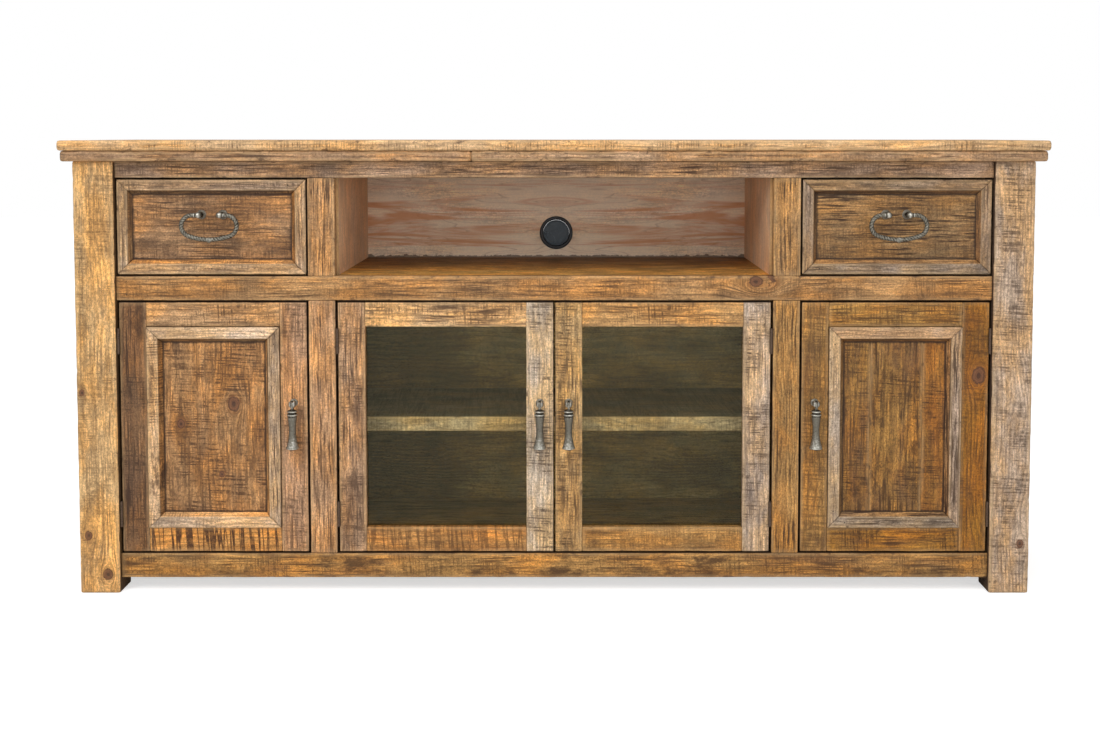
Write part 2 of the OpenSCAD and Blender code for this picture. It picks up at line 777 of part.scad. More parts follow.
// The slotted ball on its stem, with the pin that the drop hangs on
module pull_post() {
    difference() {
        union() {
            sphere(r = knob_r);
            rotate([-90, 0, 0]) cylinder(r = knob_neck_r, h = drop_reach - over);
            translate([0, drop_reach, 0]) rotate([90, 0, 0])
                cylinder(r1 = knob_foot_r, r2 = knob_foot_r - 2, h = knob_foot_h);
        }
        translate([-slot_w / 2, -knob_r - over, -knob_r - over])
            cube([slot_w, knob_r + over + slot_back, 2 * (knob_r + over)]);
        rotate([0, 90, 0]) cylinder(r = pull_pin_r + pin_clear, h = 2 * (knob_r + over), center = true);
    }
    rotate([0, 90, 0]) cylinder(r = pull_pin_r, h = 2 * knob_r - 0.5, center = true);
}

module at_pull(x) {
    translate([x[0] + pull_inset, drop_y, drop_z]) children();
}

// Drawers, drawn for the right-hand side

module drawer_front() {
    board([drawer_x[0], drawer_panel_y, drawer_z[0]], [drawer_x[1], drawer_box_y, drawer_z[1]]);
}

module drawer_moulding() {
    translate([drawer_mid_x, drawer_panel_y, (drawer_z[0] + drawer_z[1]) / 2])
        mitred_frame(drawer_x[1] - drawer_x[0], drawer_z[1] - drawer_z[0], drawer_mould_flat + drawer_mould_slope,
            mould_section(drawer_mould_flat, drawer_mould_slope, drawer_mould_h));
}

module drawer_box() {
    groove = drawer_side_t / 2.4;
    bottom_z = drawer_box_z[0] + drawer_bottom_up;
    high_z = drawer_box_z[1];
    in_x = [drawer_x[0] + drawer_side_t, drawer_x[1] - drawer_side_t];
    difference() {
        union() {
            block([drawer_x[0], drawer_box_y, drawer_box_z[0]], [in_x[0], drawer_back_y, high_z]);
            block([in_x[1], drawer_box_y, drawer_box_z[0]], [drawer_x[1], drawer_back_y, high_z]);
        }
        block([in_x[0] - groove, drawer_box_y - 1, bottom_z],
            [in_x[1] + groove, drawer_back_y + 1, bottom_z + drawer_bottom_t + joint_gap]);
    }
    block([in_x[0] - groove + joint_gap, drawer_box_y, bottom_z + joint_gap / 2],
        [in_x[1] + groove - joint_gap, drawer_back_y, bottom_z + drawer_bottom_t]);
    block([in_x[0] + joint_gap, drawer_back_y - drawer_side_t, bottom_z + drawer_bottom_t + joint_gap],
        [in_x[1] - joint_gap, drawer_back_y, high_z]);
}

// Bail pulls. The pivot line is the X axis through the origin, the drawer front is at +Y.

// An egg-shaped head on a stem and rosette, bored in its outer end for the bail's pin
module bail_post() {
    head = [for (i = [0:egg_steps]) let (t = (egg_l + egg_tip) * i / egg_steps - egg_l)
        [egg_r * sqrt(max(0, 1 - pow(t / egg_l, 2))), t]];
    difference() {
        union() {
            rotate([0, 90, 0]) rotate_extrude() polygon(concat(head, [[0, egg_tip]]));
            rotate([-90, 0, 0]) cylinder(r1 = bail_neck_r, r2 = bail_neck_r + 1, h = bail_reach - over);
            translate([0, bail_reach, 0]) rotate([90, 0, 0])
                cylinder(r1 = rosette_r, r2 = rosette_r - 2.5, h = rosette_h);
        }
        translate([egg_tip - bail_pin_in - play, 0, 0]) rotate([0, 90, 0])
            cylinder(r = bail_pin_r + pin_clear, h = bail_pin_in + 2 * over);
    }
}

// Stations along the bail's rod: [x, z, angle of the outward normal, radius], round from left to right
function bail_stations() =
    let (
        corner_x = bail_w / 2 - bail_rod_r - bail_corner_r,
        drop = bail_drop - bail_rod_r,
        rise = drop - bail_corner_r,
        sweep_r = (pow(corner_x, 2) + pow(rise, 2) - pow(bail_corner_r, 2)) / (2 * (rise - bail_corner_r)),
        half_angle = atan(corner_x / (sweep_r - rise)),
        collar_end_x = bail_collar_x + bail_collar_w,
        end = [[bail_collar_x, 90, bail_collar_r], [collar_end_x, 90, bail_collar_r], [collar_end_x, 90, bail_rod_r]],
        corner = [for (i = [0:bail_steps]) 90 - (180 - half_angle) * i / bail_steps],
        right = concat(
            [for (e = end) [e[0], 0, e[1], e[2]]],
            [for (a = corner) [corner_x + bail_corner_r * cos(a), bail_corner_r * (sin(a) - 1), a, bail_rod_r]],
            [for (i = [1:bail_steps / 2 - 1]) let (a = half_angle * (1 - 2 * i / bail_steps))
                [sweep_r * sin(a), sweep_r * (1 - cos(a)) - drop, a - 90, bail_rod_r]]
        )
    )
    concat(
        [for (s = right) [-s[0], s[1], 180 - s[2], s[3]]],
        [[0, -drop, 270, bail_rod_r]],
        [for (i = [len(right) - 1:-1:0]) [right[i][0], right[i][1], right[i][2] + 360, right[i][3]]]
    );

// A tube swept through stations in the XZ plane
module swept_rod(stations, sides) {
    last = len(stations) - 1;
    points = [for (s = stations, k = [0:sides - 1]) let (u = s[3] * cos(360 * k / sides))
        [s[0] + u * cos(s[2]), s[3] * sin(360 * k / sides), s[1] + u * sin(s[2])]];
    walls = [for (i = [0:last - 1], k = [0:sides - 1]) let (a = i * sides + k, b = i * sides + (k + 1) % sides)
        each [[a, a + sides, b + sides], [a, b + sides, b]]];
    polyhedron(points, concat(
        [[for (k = [0:sides - 1]) k]],
        walls,
        [[for (k = [sides - 1:-1:0]) last * sides + k]]
    ));
}

module bail() {
    swept_rod(bail_stations(), rod_sides);
    translate([0, 0, bail_rod_r - bail_drop]) rotate([90, 0, 0]) linear_extrude(bail_rod_r * 1.5, center = true)
        polygon([[-lozenge[0], 0], [0, lozenge[1]], [lozenge[0], 0], [0, -lozenge[1]]]);
    both_sides() translate([bail_collar_x - bail_pin_in, 0, 0]) rotate([0, 90, 0])
        cylinder(r = bail_pin_r, h = bail_pin_in + over);
}

module at_bail() {
    translate([drawer_mid_x, bail_y, bail_z]) children();
}

module bail_posts() {
    at_bail() both_sides() translate([post_spacing / 2, 0, 0]) bail_post();
}

// Cable port. The axis runs along Y through the back, and 0 is the back's front face.

module at_port() {
    translate([0, back_front_y, port_z]) rotate([90, 0, 0]) children();
}

module cable_sleeve() {
    outer_r = port_hole_r - port_press;
    flange_r = port_hole_r + port_flange;
    tail_z = -back_panel_t - port_tail;
    ledge_z = cap_front - cap_t;
    color(black) at_port() rotate_extrude() polygon([
        [outer_r, 0], [flange_r, 0], [flange_r, port_flange_t - port_ease], [flange_r - port_ease, port_flange_t],
        [port_bore_r + port_ease, port_flange_t], [port_bore_r, port_flange_t - port_ease], [port_bore_r, ledge_z],
        [port_bore_r - port_ledge, ledge_z], [port_bore_r - port_ledge, ledge_z - port_ledge],
        [port_bore_r, ledge_z - port_ledge], [port_bore_r, tail_z], [outer_r, tail_z]
    ]);
}

// The overlap of the cap's rim with a lobe centred near it
module gate_outline(rim_r, lobe_r) {
    intersection() {
        circle(r = rim_r);
        rotate(gate_turn) translate([gate_x, 0]) circle(r = lobe_r);
    }
}

// The cap rests on the sleeve's ledge. A groove round its lower left marks the gate for thin cables.
module cable_cap() {
    cap_r = port_bore_r - play;
    skirt_r = port_bore_r - port_ledge - play;
    back_z = cap_front - cap_t;
    rim_r = cap_r - 2 * port_ease;
    color(black) at_port() difference() {
        rotate_extrude() polygon([
            [0, back_z], [skirt_r - cap_skirt_t, back_z], [skirt_r - cap_skirt_t, back_z - cap_skirt_h],
            [skirt_r, back_z - cap_skirt_h], [skirt_r, back_z], [cap_r, back_z],
            [cap_r, cap_front - port_ease], [cap_r - port_ease, cap_front], [0, cap_front]
        ]);
        translate([0, 0, cap_front - gate_groove[1]]) linear_extrude(gate_groove[1] + over) difference() {
            gate_outline(rim_r, gate_r);
            gate_outline(rim_r - gate_groove[0], gate_r - gate_groove[0]);
        }
    }
}

// Nodes of the moving pieces

module door_left_frame() { color(pine) mirror([1, 0, 0]) wood_door_frame(); }
module door_left_panel() { color(pine) mirror([1, 0, 0]) wood_door_panel([]); }
module door_left_moulding() { color(pale_pine) mirror([1, 0, 0]) wood_door_moulding(); }
module door_left_hardware() { color(bronze) mirror([1, 0, 0]) door_hardware(wood_door_x); }
module door_left_pull_post() { color(pewter) mirror([1, 0, 0]) at_pull(wood_door_x) pull_post(); }
module door_left_pull_drop() { color(pewter) mirror([1, 0, 0]) at_pull(wood_door_x) pull_drop(); }

module door_right_frame() { color(pine) wood_door_frame(); }
module door_right_panel() { color(pine) wood_door_panel(panel_seams); }
module door_right_moulding() { color(pale_pine) wood_door_moulding(); }
module door_right_hardware() { color(bronze) door_hardware(wood_door_x); }
module door_right_pull_post() { color(pewter) at_pull(wood_door_x) pull_post(); }
module door_right_pull_drop() { color(pewter) at_pull(wood_door_x) pull_drop(); }

module glass_door_left_frame() { color(pine) mirror([1, 0, 0]) glass_door_frame(); }
module glass_door_left_pane() { color("#5a5a4a", 0.4) mirror([1, 0, 0]) glass_door_pane(); }
module glass_door_left_beads() { color(dark_pine) mirror([1, 0, 0]) glass_door_beads(); }
module glass_door_left_hardware() { color(bronze) mirror([1, 0, 0]) door_hardware(glass_door_x); }
module glass_door_left_pull_post() { color(pewter) mirror([1, 0, 0]) at_pull(glass_door_x) pull_post(); }
module glass_door_left_pull_drop() { color(pewter) mirror([1, 0, 0]) at_pull(glass_door_x) pull_drop(); }

module glass_door_right_frame() { color(pine) glass_door_frame(); }
module glass_door_right_pane() { color("#5a5a4a", 0.4) glass_door_pane(); }
module glass_door_right_beads() { color(dark_pine) glass_door_beads(); }
module glass_door_right_hardware() { color(bronze) door_hardware(glass_door_x); }
module glass_door_right_pull_post() { color(pewter) at_pull(glass_door_x) pull_post(); }
module glass_door_right_pull_drop() { color(pewter) at_pull(glass_door_x) pull_drop(); }

module drawer_left_front() { color(pine) mirror([1, 0, 0]) drawer_front(); }
module drawer_left_moulding() { color(pale_pine) mirror([1, 0, 0]) drawer_moulding(); }
module drawer_left_box() { color(dark_pine) mirror([1, 0, 0]) drawer_box(); }
module drawer_left_pull_posts() { color(pewter) mirror([1, 0, 0]) bail_posts(); }
module drawer_left_bail() { color(pewter) mirror([1, 0, 0]) at_bail() bail(); }

module drawer_right_front() { color(pine) drawer_front(); }
module drawer_right_moulding() { color(pale_pine) drawer_moulding(); }
module drawer_right_box() { color(dark_pine) drawer_box(); }
module drawer_right_pull_posts() { color(pewter) bail_posts(); }
module drawer_right_bail() { color(pewter) at_bail() bail(); }

top_panel();
top_edge_strips();
front_legs();
rear_legs();
top_rail();
middle_rail();
bottom_rail();
frame_uprights();
side_rails();
side_panels();
rear_rails();
deck_panel();
floor_panel();
back_panels();
cubby_sides();
partitions();
center_shelf();
side_shelves();
shelf_pins();
drawer_runners();
door_catches();
jamb_hinge_leaves();
hinge_pins();
cable_sleeve();
cable_cap();
door_left_frame();
door_left_panel();
door_left_moulding();
door_left_hardware();
door_left_pull_post();
door_left_pull_drop();
door_right_frame();
door_right_panel();
door_right_moulding();
door_right_hardware();
door_right_pull_post();
door_right_pull_drop();
glass_door_left_frame();
glass_door_left_pane();
glass_door_left_beads();
glass_door_left_hardware();
glass_door_left_pull_post();
glass_door_left_pull_drop();
glass_door_right_frame();
glass_door_right_pane();
glass_door_right_beads();
glass_door_right_hardware();
glass_door_right_pull_post();
glass_door_right_pull_drop();
drawer_left_front();
drawer_left_moulding();
drawer_left_box();
drawer_left_pull_posts();
drawer_left_bail();
drawer_right_front();
drawer_right_moulding();
drawer_right_box();
drawer_right_pull_posts();
drawer_right_bail();
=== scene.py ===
import json
import math
from collections import namedtuple
from functools import reduce

import bmesh
import bpy
import numpy as np
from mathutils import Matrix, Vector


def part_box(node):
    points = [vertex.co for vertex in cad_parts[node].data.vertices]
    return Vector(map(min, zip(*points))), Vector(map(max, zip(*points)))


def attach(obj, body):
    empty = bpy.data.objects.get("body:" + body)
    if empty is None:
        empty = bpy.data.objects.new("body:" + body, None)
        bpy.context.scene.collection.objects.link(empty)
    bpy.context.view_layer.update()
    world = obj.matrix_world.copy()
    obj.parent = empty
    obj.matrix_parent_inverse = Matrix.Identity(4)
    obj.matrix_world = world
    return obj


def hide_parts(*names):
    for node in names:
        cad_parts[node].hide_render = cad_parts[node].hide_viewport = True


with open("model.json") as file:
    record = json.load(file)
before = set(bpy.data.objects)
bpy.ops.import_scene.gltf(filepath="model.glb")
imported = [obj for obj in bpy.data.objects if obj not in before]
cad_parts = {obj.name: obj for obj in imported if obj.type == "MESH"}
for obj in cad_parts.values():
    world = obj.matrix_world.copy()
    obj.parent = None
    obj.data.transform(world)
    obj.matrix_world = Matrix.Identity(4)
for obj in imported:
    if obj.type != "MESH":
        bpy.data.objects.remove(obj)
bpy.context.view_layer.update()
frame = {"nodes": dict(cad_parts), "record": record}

MM = 0.001
NO_KNOT = 5.0
BODIES = frame["record"]["behaviour"]["bodies"]
BODY_OF = {node: body for body, nodes in BODIES.items() for node in nodes}


def rgba(red, green, blue):
    """A colour written as 0 to 255, in the linear values that Blender works with."""
    levels = (level / 255 for level in (red, green, blue))
    return (*(((c + 0.055) / 1.055) ** 2.4 if c > 0.04045 else c / 12.92 for c in levels), 1.0)


# Node trees

class Signal:
    """A node's output, which can be reckoned with as if it were a number."""

    def __init__(self, socket):
        self.socket = socket
        self.tree = socket.id_data

    def __add__(self, other):
        return calc("ADD", self, other)

    def __sub__(self, other):
        return calc("SUBTRACT", self, other)

    def __rsub__(self, other):
        return calc("SUBTRACT", other, self)

    def __mul__(self, other):
        return calc("MULTIPLY", self, other)

    def __abs__(self):
        return calc("ABSOLUTE", self)


def feed(sockets, values):
    """Links or sets the inputs of a node, which are given by name or by number."""
    for key, value in dict(values).items():
        if isinstance(value, Signal):
            value.tree.links.new(value.socket, sockets[key])
        else:
            sockets[key].default_value = value


def add(tree, kind, inputs=(), **settings):
    """A new node, with settings on the node and values or links on its inputs."""
    made = tree.nodes.new(kind)
    for name, value in settings.items():
        setattr(made, name, value)
    feed(made.inputs, inputs)
    return made


def output(node, key=0):
    return Signal(node.outputs[key])


def tree_of(*terms):
    return next(term.tree for term in terms if isinstance(term, Signal))


def calc(operation, *terms):
    return output(add(tree_of(*terms), "ShaderNodeMath", enumerate(terms), operation=operation))


def most(*terms):
    return reduce(lambda first, second: calc("MAXIMUM", first, second), terms)


def least(*terms):
    return reduce(lambda first, second: calc("MINIMUM", first, second), terms)


def vector_calc(operation, *terms):
    made = add(tree_of(*terms), "ShaderNodeVectorMath", enumerate(terms), operation=operation)
    return output(made, "Value" if operation == "LENGTH" else "Vector")


def scaled(whole, scale):
    return output(add(whole.tree, "ShaderNodeVectorMath", {0: whole, "Scale": scale}, operation="SCALE"))


def vector(*terms):
    return output(add(tree_of(*terms), "ShaderNodeCombineXYZ", enumerate(terms)))


def parts(whole):
    """The X, Y and Z of a vector."""
    split = add(whole.tree, "ShaderNodeSeparateXYZ", {0: whole})
    return [output(split, k) for k in range(3)]


def noise(place, stretch, detail=2.0, roughness=0.5, distortion=0.0):
    """Noise from about 0.3 to 0.7, with its own scale in each direction, in features a metre."""
    return output(add(place.tree, "ShaderNodeTexNoise", {
        "Vector": vector_calc("MULTIPLY", place, stretch), "Scale": 1.0, "Detail": detail,
        "Roughness": roughness, "Distortion": distortion,
    }))


def step(value, low, high, to_low=0.0, to_high=1.0):
    """A smooth step from one value to another while the input goes from low to high."""
    values = enumerate((value, low, high, to_low, to_high))
    return output(add(value.tree, "ShaderNodeMapRange", values, interpolation_type="SMOOTHSTEP"))


def mix(share, first, second, mode="MIX"):
    tree = tree_of(share, first, second)
    values = {0: share, 6: first, 7: second}
    return output(add(tree, "ShaderNodeMix", values, data_type="RGBA", blend_type=mode), 2)


def tinted(color, tint):
    return mix(1.0, color, tint, "MULTIPLY")


def add_sockets(tree, direction, kinds):
    return [
        tree.interface.new_socket(name, in_out=direction, socket_type="NodeSocket" + kind)
        for name, kind in kinds.items()
    ]


def group_ends(tree):
    """A group, what comes into it by name, and the sockets that its results go to."""
    coming = tree.nodes.new("NodeGroupInput").outputs
    given = {socket.name: Signal(socket) for socket in coming if socket.name}
    return tree, given, tree.nodes.new("NodeGroupOutput").inputs


def surface_group(name, inputs):
    """A shader group that works out a colour, a roughness and a height in metres."""
    tree = bpy.data.node_groups.new(name, "ShaderNodeTree")
    add_sockets(tree, "INPUT", inputs)
    add_sockets(tree, "OUTPUT", {"Color": "Color", "Roughness": "Float", "Height": "Float"})
    return group_ends(tree)


def geometry_tree(name, inputs):
    """A geometry node tree with a geometry coming in and going out, and named inputs with their defaults."""
    tree = bpy.data.node_groups.new(name, "GeometryNodeTree")
    add_sockets(tree, "INPUT", {"Geometry": "Geometry"})
    for label, (kind, default) in inputs.items():
        add_sockets(tree, "INPUT", {label: kind})[0].default_value = default
    add_sockets(tree, "OUTPUT", {"Geometry": "Geometry"})
    return group_ends(tree)


def finish_geometry(geometry, material, result):
    """Ends a geometry tree with real geometry that has its material."""
    real = add(geometry.tree, "GeometryNodeRealizeInstances", {0: geometry})
    dressed = add(geometry.tree, "GeometryNodeSetMaterial", {"Geometry": output(real), "Material": material})
    feed(result, {"Geometry": output(dressed)})


def new_material(name):
    """A new material, its node tree and the inputs of its surface."""
    material = bpy.data.materials.new(name)
    material.use_nodes = True
    tree = material.node_tree
    return material, tree, tree.nodes["Principled BSDF"].inputs


def attribute(tree, name, kind):
    return output(add(tree, "ShaderNodeAttribute", attribute_name=name), kind)


def object_place(tree):
    return output(add(tree, "ShaderNodeTexCoord"), "Object")


def bump(height, strength):
    inputs = {"Height": height, "Strength": strength, "Distance": 1.0}
    return output(add(height.tree, "ShaderNodeBump", inputs))


def finish_surface(surface, group, strength, others):
    """Links a surface to what a group works out, and to other values by name."""
    feed(surface, {
        "Base Color": output(group, "Color"), "Roughness": output(group, "Roughness"),
        "Normal": bump(output(group, "Height"), strength), **others,
    })


# Woods, metals, plastic and glass

GLAZE_AND_SHADE = rgba(64, 44, 34)
SMEAR = rgba(96, 70, 54)
PALE = rgba(222, 186, 136)
SHADE_AND_DIRT_DARK = rgba(26, 18, 13)
KNOT_DARK = rgba(58, 38, 32)
KNOT_WOOD = rgba(122, 80, 54)
KNOT_HALO = rgba(146, 92, 48)


def pine_group():
    """Rough-sawn pine. Place is in metres: X along the grain, Y across the board, Z through it."""
    tree, given, result = surface_group("Rough pine", {
        "Place": "Vector", "Knot": "Vector", "Tone": "Color", "Finish": "Vector", "Arris": "Float",
        "Grime": "Float",
    })
    place, tone, arris = given["Place"], given["Tone"], given["Arris"]
    along, across, through = parts(place)
    saw_level, streak_level, stain_level = parts(given["Finish"])

    def grained(lengthwise, crosswise, *quality, at=place):
        return noise(at, (lengthwise, crosswise, crosswise), *quality)

    # growth rings round a pith behind the board
    from_pith = vector_calc("LENGTH", vector(grained(4, 14) * 0.07 + across, through + 0.055))
    ring_phase = calc("FRACT", from_pith * 130.0)
    late_wood = step(ring_phase, 0.2, 0.9) * step(ring_phase, 1.0, 0.9)

    # fibres and dark streaks along the grain
    fibre = grained(32, 480, 3.0, 0.7)
    speckle = grained(220, 270, 4.0, 0.8)
    patches = grained(9, 21, 3.0, 0.6)
    elsewhere = vector_calc("ADD", place, (7.3, 1.9, 4.1))
    other_patches = grained(12, 15, 3.0, 0.65, at=elsewhere)
    threads = grained(11, 280, 3.0, 0.7)
    streak = step(threads, 0.47, 0.59) * streak_level * step(patches, 0.36, 0.58, 0.12, 1.0)

    # saw marks across the grain: fine ones in patches, and wide ones where the level is over 1
    saw_place = vector(across * 0.06 + along, across, through)
    uneven = grained(225, 12, 2.0, 0.6, at=saw_place)
    drift = grained(16, 5, at=saw_place)
    ruled = calc("SINE", along * 1250.0 + drift * 26.0)
    fine_level = least(saw_level, most(1.9 - saw_level, 0.1), 1.0)
    fine_saw = step(ruled * 0.05 + uneven, 0.47, 0.57) * step(other_patches, 0.385, 0.58, 0.08, 1.0)
    wide_level = least(most(saw_level * 1.3 - 1.3, 0.0), 1.0)
    wide_saw = step(abs(grained(58, 3, 2.0, 0.55, at=saw_place) - 0.5), 0.045, 0.02)
    broken = step(grained(70, 110, 3.0, 0.75), 0.36, 0.56, 0.3, 1.0)
    saw = most(fine_saw * fine_level * broken, wide_saw * wide_level * (broken * 0.45 + 0.65))

    # dark stain in blotches and specks
    blotch = grained(14, 30, 5.0, 0.72)
    stain = step(blotch, 0.50, 0.66) * stain_level
    smear = step(grained(5, 17, 4.0, 0.7, at=elsewhere), 0.44, 0.66) * stain_level
    speck = step(grained(200, 330, 2.0, 0.6), 0.62, 0.70) * (stain_level * 0.7 + 0.2)

    # colour
    warmth = step(grained(6, 14, 4.0, 0.65), 0.38, 0.64)
    color = tinted(tone, mix(warmth, (0.92, 0.97, 1.08, 1), (1.16, 1.00, 0.72, 1)))
    lightness = step(other_patches, 0.3, 0.7, 1.30, 0.82) * step(fibre, 0.3, 0.7, 0.76, 1.24)
    lightness = lightness * step(speckle, 0.32, 0.68, 0.60, 1.40) * step(threads, 0.3, 0.7, 1.16, 0.88)
    lightness = lightness * step(late_wood, 0.0, 1.0, 1.07, 0.78)
    color = mix(smear * 0.6, scaled(color, lightness), SMEAR)
    dark = most(streak, saw, stain, speck)
    deep = mix(0.35, tinted(tone, (0.17, 0.14, 0.13, 1)), GLAZE_AND_SHADE)
    color = mix(dark * 0.94, color, deep)

    # worn, paler arrises with dark nicks in them
    rubbed = arris * step(patches, 0.34, 0.60, 0.25, 1.0)
    nicked = arris * step(grained(38, 55, 4.0, 0.75), 0.55, 0.68) * 0.7
    color = mix(rubbed * 0.5, color, mix(0.55, tone, PALE))
    color = mix(nicked, color, GLAZE_AND_SHADE)

    # painted shade in gaps, creases and on hidden inner faces, with glaze at joints and dirt at the feet
    grime = step(given["Grime"] + (blotch * 1.2 - 0.6), 0.30, 0.80) * step(given["Grime"], 0.0, 0.15)
    color = mix(grime * 0.9, color, mix(0.5, deep, SHADE_AND_DIRT_DARK))

    # knots: a dark eye in a brown core with a darker rim, and a warm halo round it
    knot_r = grained(70, 120, 3.0, 0.7) * 0.8 + (vector_calc("LENGTH", given["Knot"]) - 0.4)
    halo = step(knot_r, 1.9, 0.8)
    core = step(knot_r, 1.02, 0.78)
    eye = step(knot_r, 0.50, 0.20)
    rim = step(knot_r, 1.14, 0.96) * step(knot_r, 0.78, 0.96)
    knot_ring = step(calc("FRACT", knot_r * 3.3), 0.1, 0.9)
    knot_wood = mix(knot_ring * 0.55, KNOT_WOOD, KNOT_DARK)
    color = mix(halo * 0.45, color, KNOT_HALO)
    color = mix(core * 0.85, color, mix(eye, knot_wood, KNOT_DARK))
    color = mix(rim * 0.75, color, KNOT_DARK)

    height = saw * -0.35 + fibre * 0.22 + streak * -0.20 + late_wood * 0.10 + nicked * -0.5 + rim * -0.4
    roughness = dark * 0.16 + step(fibre, 0.3, 0.7, 0.46, 0.62)
    feed(result, {"Color": color, "Roughness": roughness, "Height": height * MM})
    return tree


PINE = pine_group()


def board_material(name):
    """Pine for the boards made below, which carry their own place in the log."""
    material, tree, surface = new_material(name)
    kinds = {"Tone": "Color", "Arris": "Fac", "Grime": "Fac"}
    pine = add(tree, "ShaderNodeGroup", node_tree=PINE)
    for label in ("Place", "Knot", "Tone", "Finish", "Arris", "Grime"):
        feed(pine.inputs, {label: attribute(tree, label.lower(), kinds.get(label, "Vector"))})
    finish_surface(surface, pine, 0.8, {"Specular IOR Level": 0.35})
    return material


def panel_material(name, tone, grain, finish, offset, book_match=False):
    """Pine for a CAD board left as it is. Grain is the axis that the grain runs along."""
    material, tree, surface = new_material(name)
    place = parts(object_place(tree))
    along, across, through = (place[k] for k in {"x": (0, 2, 1), "y": (1, 0, 2), "z": (2, 0, 1)}[grain])
    place = vector_calc("ADD", vector(abs(along) if book_match else along, across, through), offset)
    pine = add(tree, "ShaderNodeGroup", node_tree=PINE)
    feed(pine.inputs, {"Place": place, "Knot": (NO_KNOT,) * 3, "Tone": rgba(*tone), "Finish": finish})
    finish_surface(surface, pine, 0.5, {"Specular IOR Level": 0.35})
    return material


def metal_group():
    """Cast metal with dark dirt in its hollows and bright rubbed high spots."""
    tree, given, result = surface_group("Worn metal", {
        "Base": "Color", "Bright": "Color", "Dirt": "Color", "High": "Float", "Grit": "Float",
    })
    place = object_place(tree)
    cloud = noise(place, (260,) * 3, 4.0, 0.65)
    grain = noise(place, (1500,) * 3, 2.0, 0.6)
    level = given["High"] + (cloud * 1.4 - 0.7)
    rubbed = step(level, 0.45, 1.1, 0.0, 0.9)
    color = mix(step(level, 0.0, 0.34), given["Dirt"], given["Base"])
    feed(result, {
        "Color": mix(rubbed, color, given["Bright"]),
        "Roughness": grain * 0.12 + step(rubbed, 0.0, 1.0, 0.50, 0.28),
        "Height": (grain * given["Grit"] * 0.10 + cloud * 0.20) * MM,
    })
    return tree


METAL = metal_group()


def metal_material(name, base, bright, dirt_and_edge_shade, metallic, grit, has_high=False):
    """Worn metal, painted darker where it turns away from the camera. A piece that carries how worn its
    points are shows it.
    """
    material, tree, surface = new_material(name)
    worn = add(tree, "ShaderNodeGroup", node_tree=METAL)
    high = attribute(tree, "high", "Fac") if has_high else 0.35
    feed(worn.inputs, {"Base": rgba(*base), "Bright": rgba(*bright), "Dirt": rgba(*dirt_and_edge_shade)})
    feed(worn.inputs, {"High": high, "Grit": grit})
    # painted shade: darker towards the edges that turn away from the camera
    painted_edge_shade = step(output(add(tree, "ShaderNodeLayerWeight"), "Facing"), 0.40, 0.95, 0.0, 0.8)
    color = mix(painted_edge_shade, output(worn, "Color"), rgba(*dirt_and_edge_shade))
    finish_surface(surface, worn, 0.6, {"Base Color": color, "Metallic": metallic})
    return material


def plastic_material(name, color):
    """Moulded plastic, dusty in patches and paler where it is rubbed."""
    material, tree, surface = new_material(name)
    place = object_place(tree)
    mottle = noise(place, (60,) * 3, 3.0, 0.6)
    pebble = noise(place, (1400,) * 3) * (0.04 * MM)
    base, dusty, rubbed = (rgba(*(level + paler for level in color)) for paler in (0, 18, 44))
    clean = mix(step(mottle, 0.42, 0.68), base, dusty)
    feed(surface, {
        "Base Color": mix(attribute(tree, "high", "Fac"), clean, rubbed),
        "Roughness": step(mottle, 0.3, 0.7, 0.42, 0.56),
        "Normal": bump(pebble, 0.6),
    })
    return material


def glass_material():
    """Clear glass with a faint haze."""
    material, tree, surface = new_material("Door glass")
    haze = noise(object_place(tree), (14, 14, 22), 3.0, 0.6)
    feed(surface, {
        "Base Color": rgba(236, 233, 212), "Roughness": step(haze, 0.45, 0.8, 0.0, 0.015), "IOR": 1.3,
        "Transmission Weight": 1.0, "Specular IOR Level": 0.12, "Specular Tint": (0.94, 0.90, 0.68, 1),
    })
    return material


FRAME_PINE = board_material("Pine frame boards")
LEG_PINE = board_material("Pine legs")
TOP_PINE = board_material("Pine top")
PANEL_PINE = board_material("Pine panels")
MOULDING_PINE = board_material("Pine mouldings")
PEWTER = metal_material("Antique pewter", (124, 119, 107), (216, 213, 202), (40, 35, 28), 0.85, 1.0, True)
BRONZE = metal_material("Dark bronze", (100, 82, 68), (160, 138, 118), (52, 42, 36), 0.8, 0.6)
PIN_STEEL = metal_material("Shelf pin steel", (150, 150, 146), (200, 200, 196), (96, 94, 90), 0.9, 0.3)
NAIL_STEEL = metal_material("Nail heads", (46, 40, 36), (84, 74, 66), (26, 22, 20), 0.4, 0.6)
BLACK_RING = plastic_material("Black port ring", (12, 15, 19))
BLACK_CAP = plastic_material("Black port cap", (52, 67, 78))
GLASS = glass_material()


# Shapes

ATTRIBUTE_KINDS = {1: ("FLOAT", "value"), 3: ("FLOAT_VECTOR", "vector"), 4: ("FLOAT_COLOR", "color")}


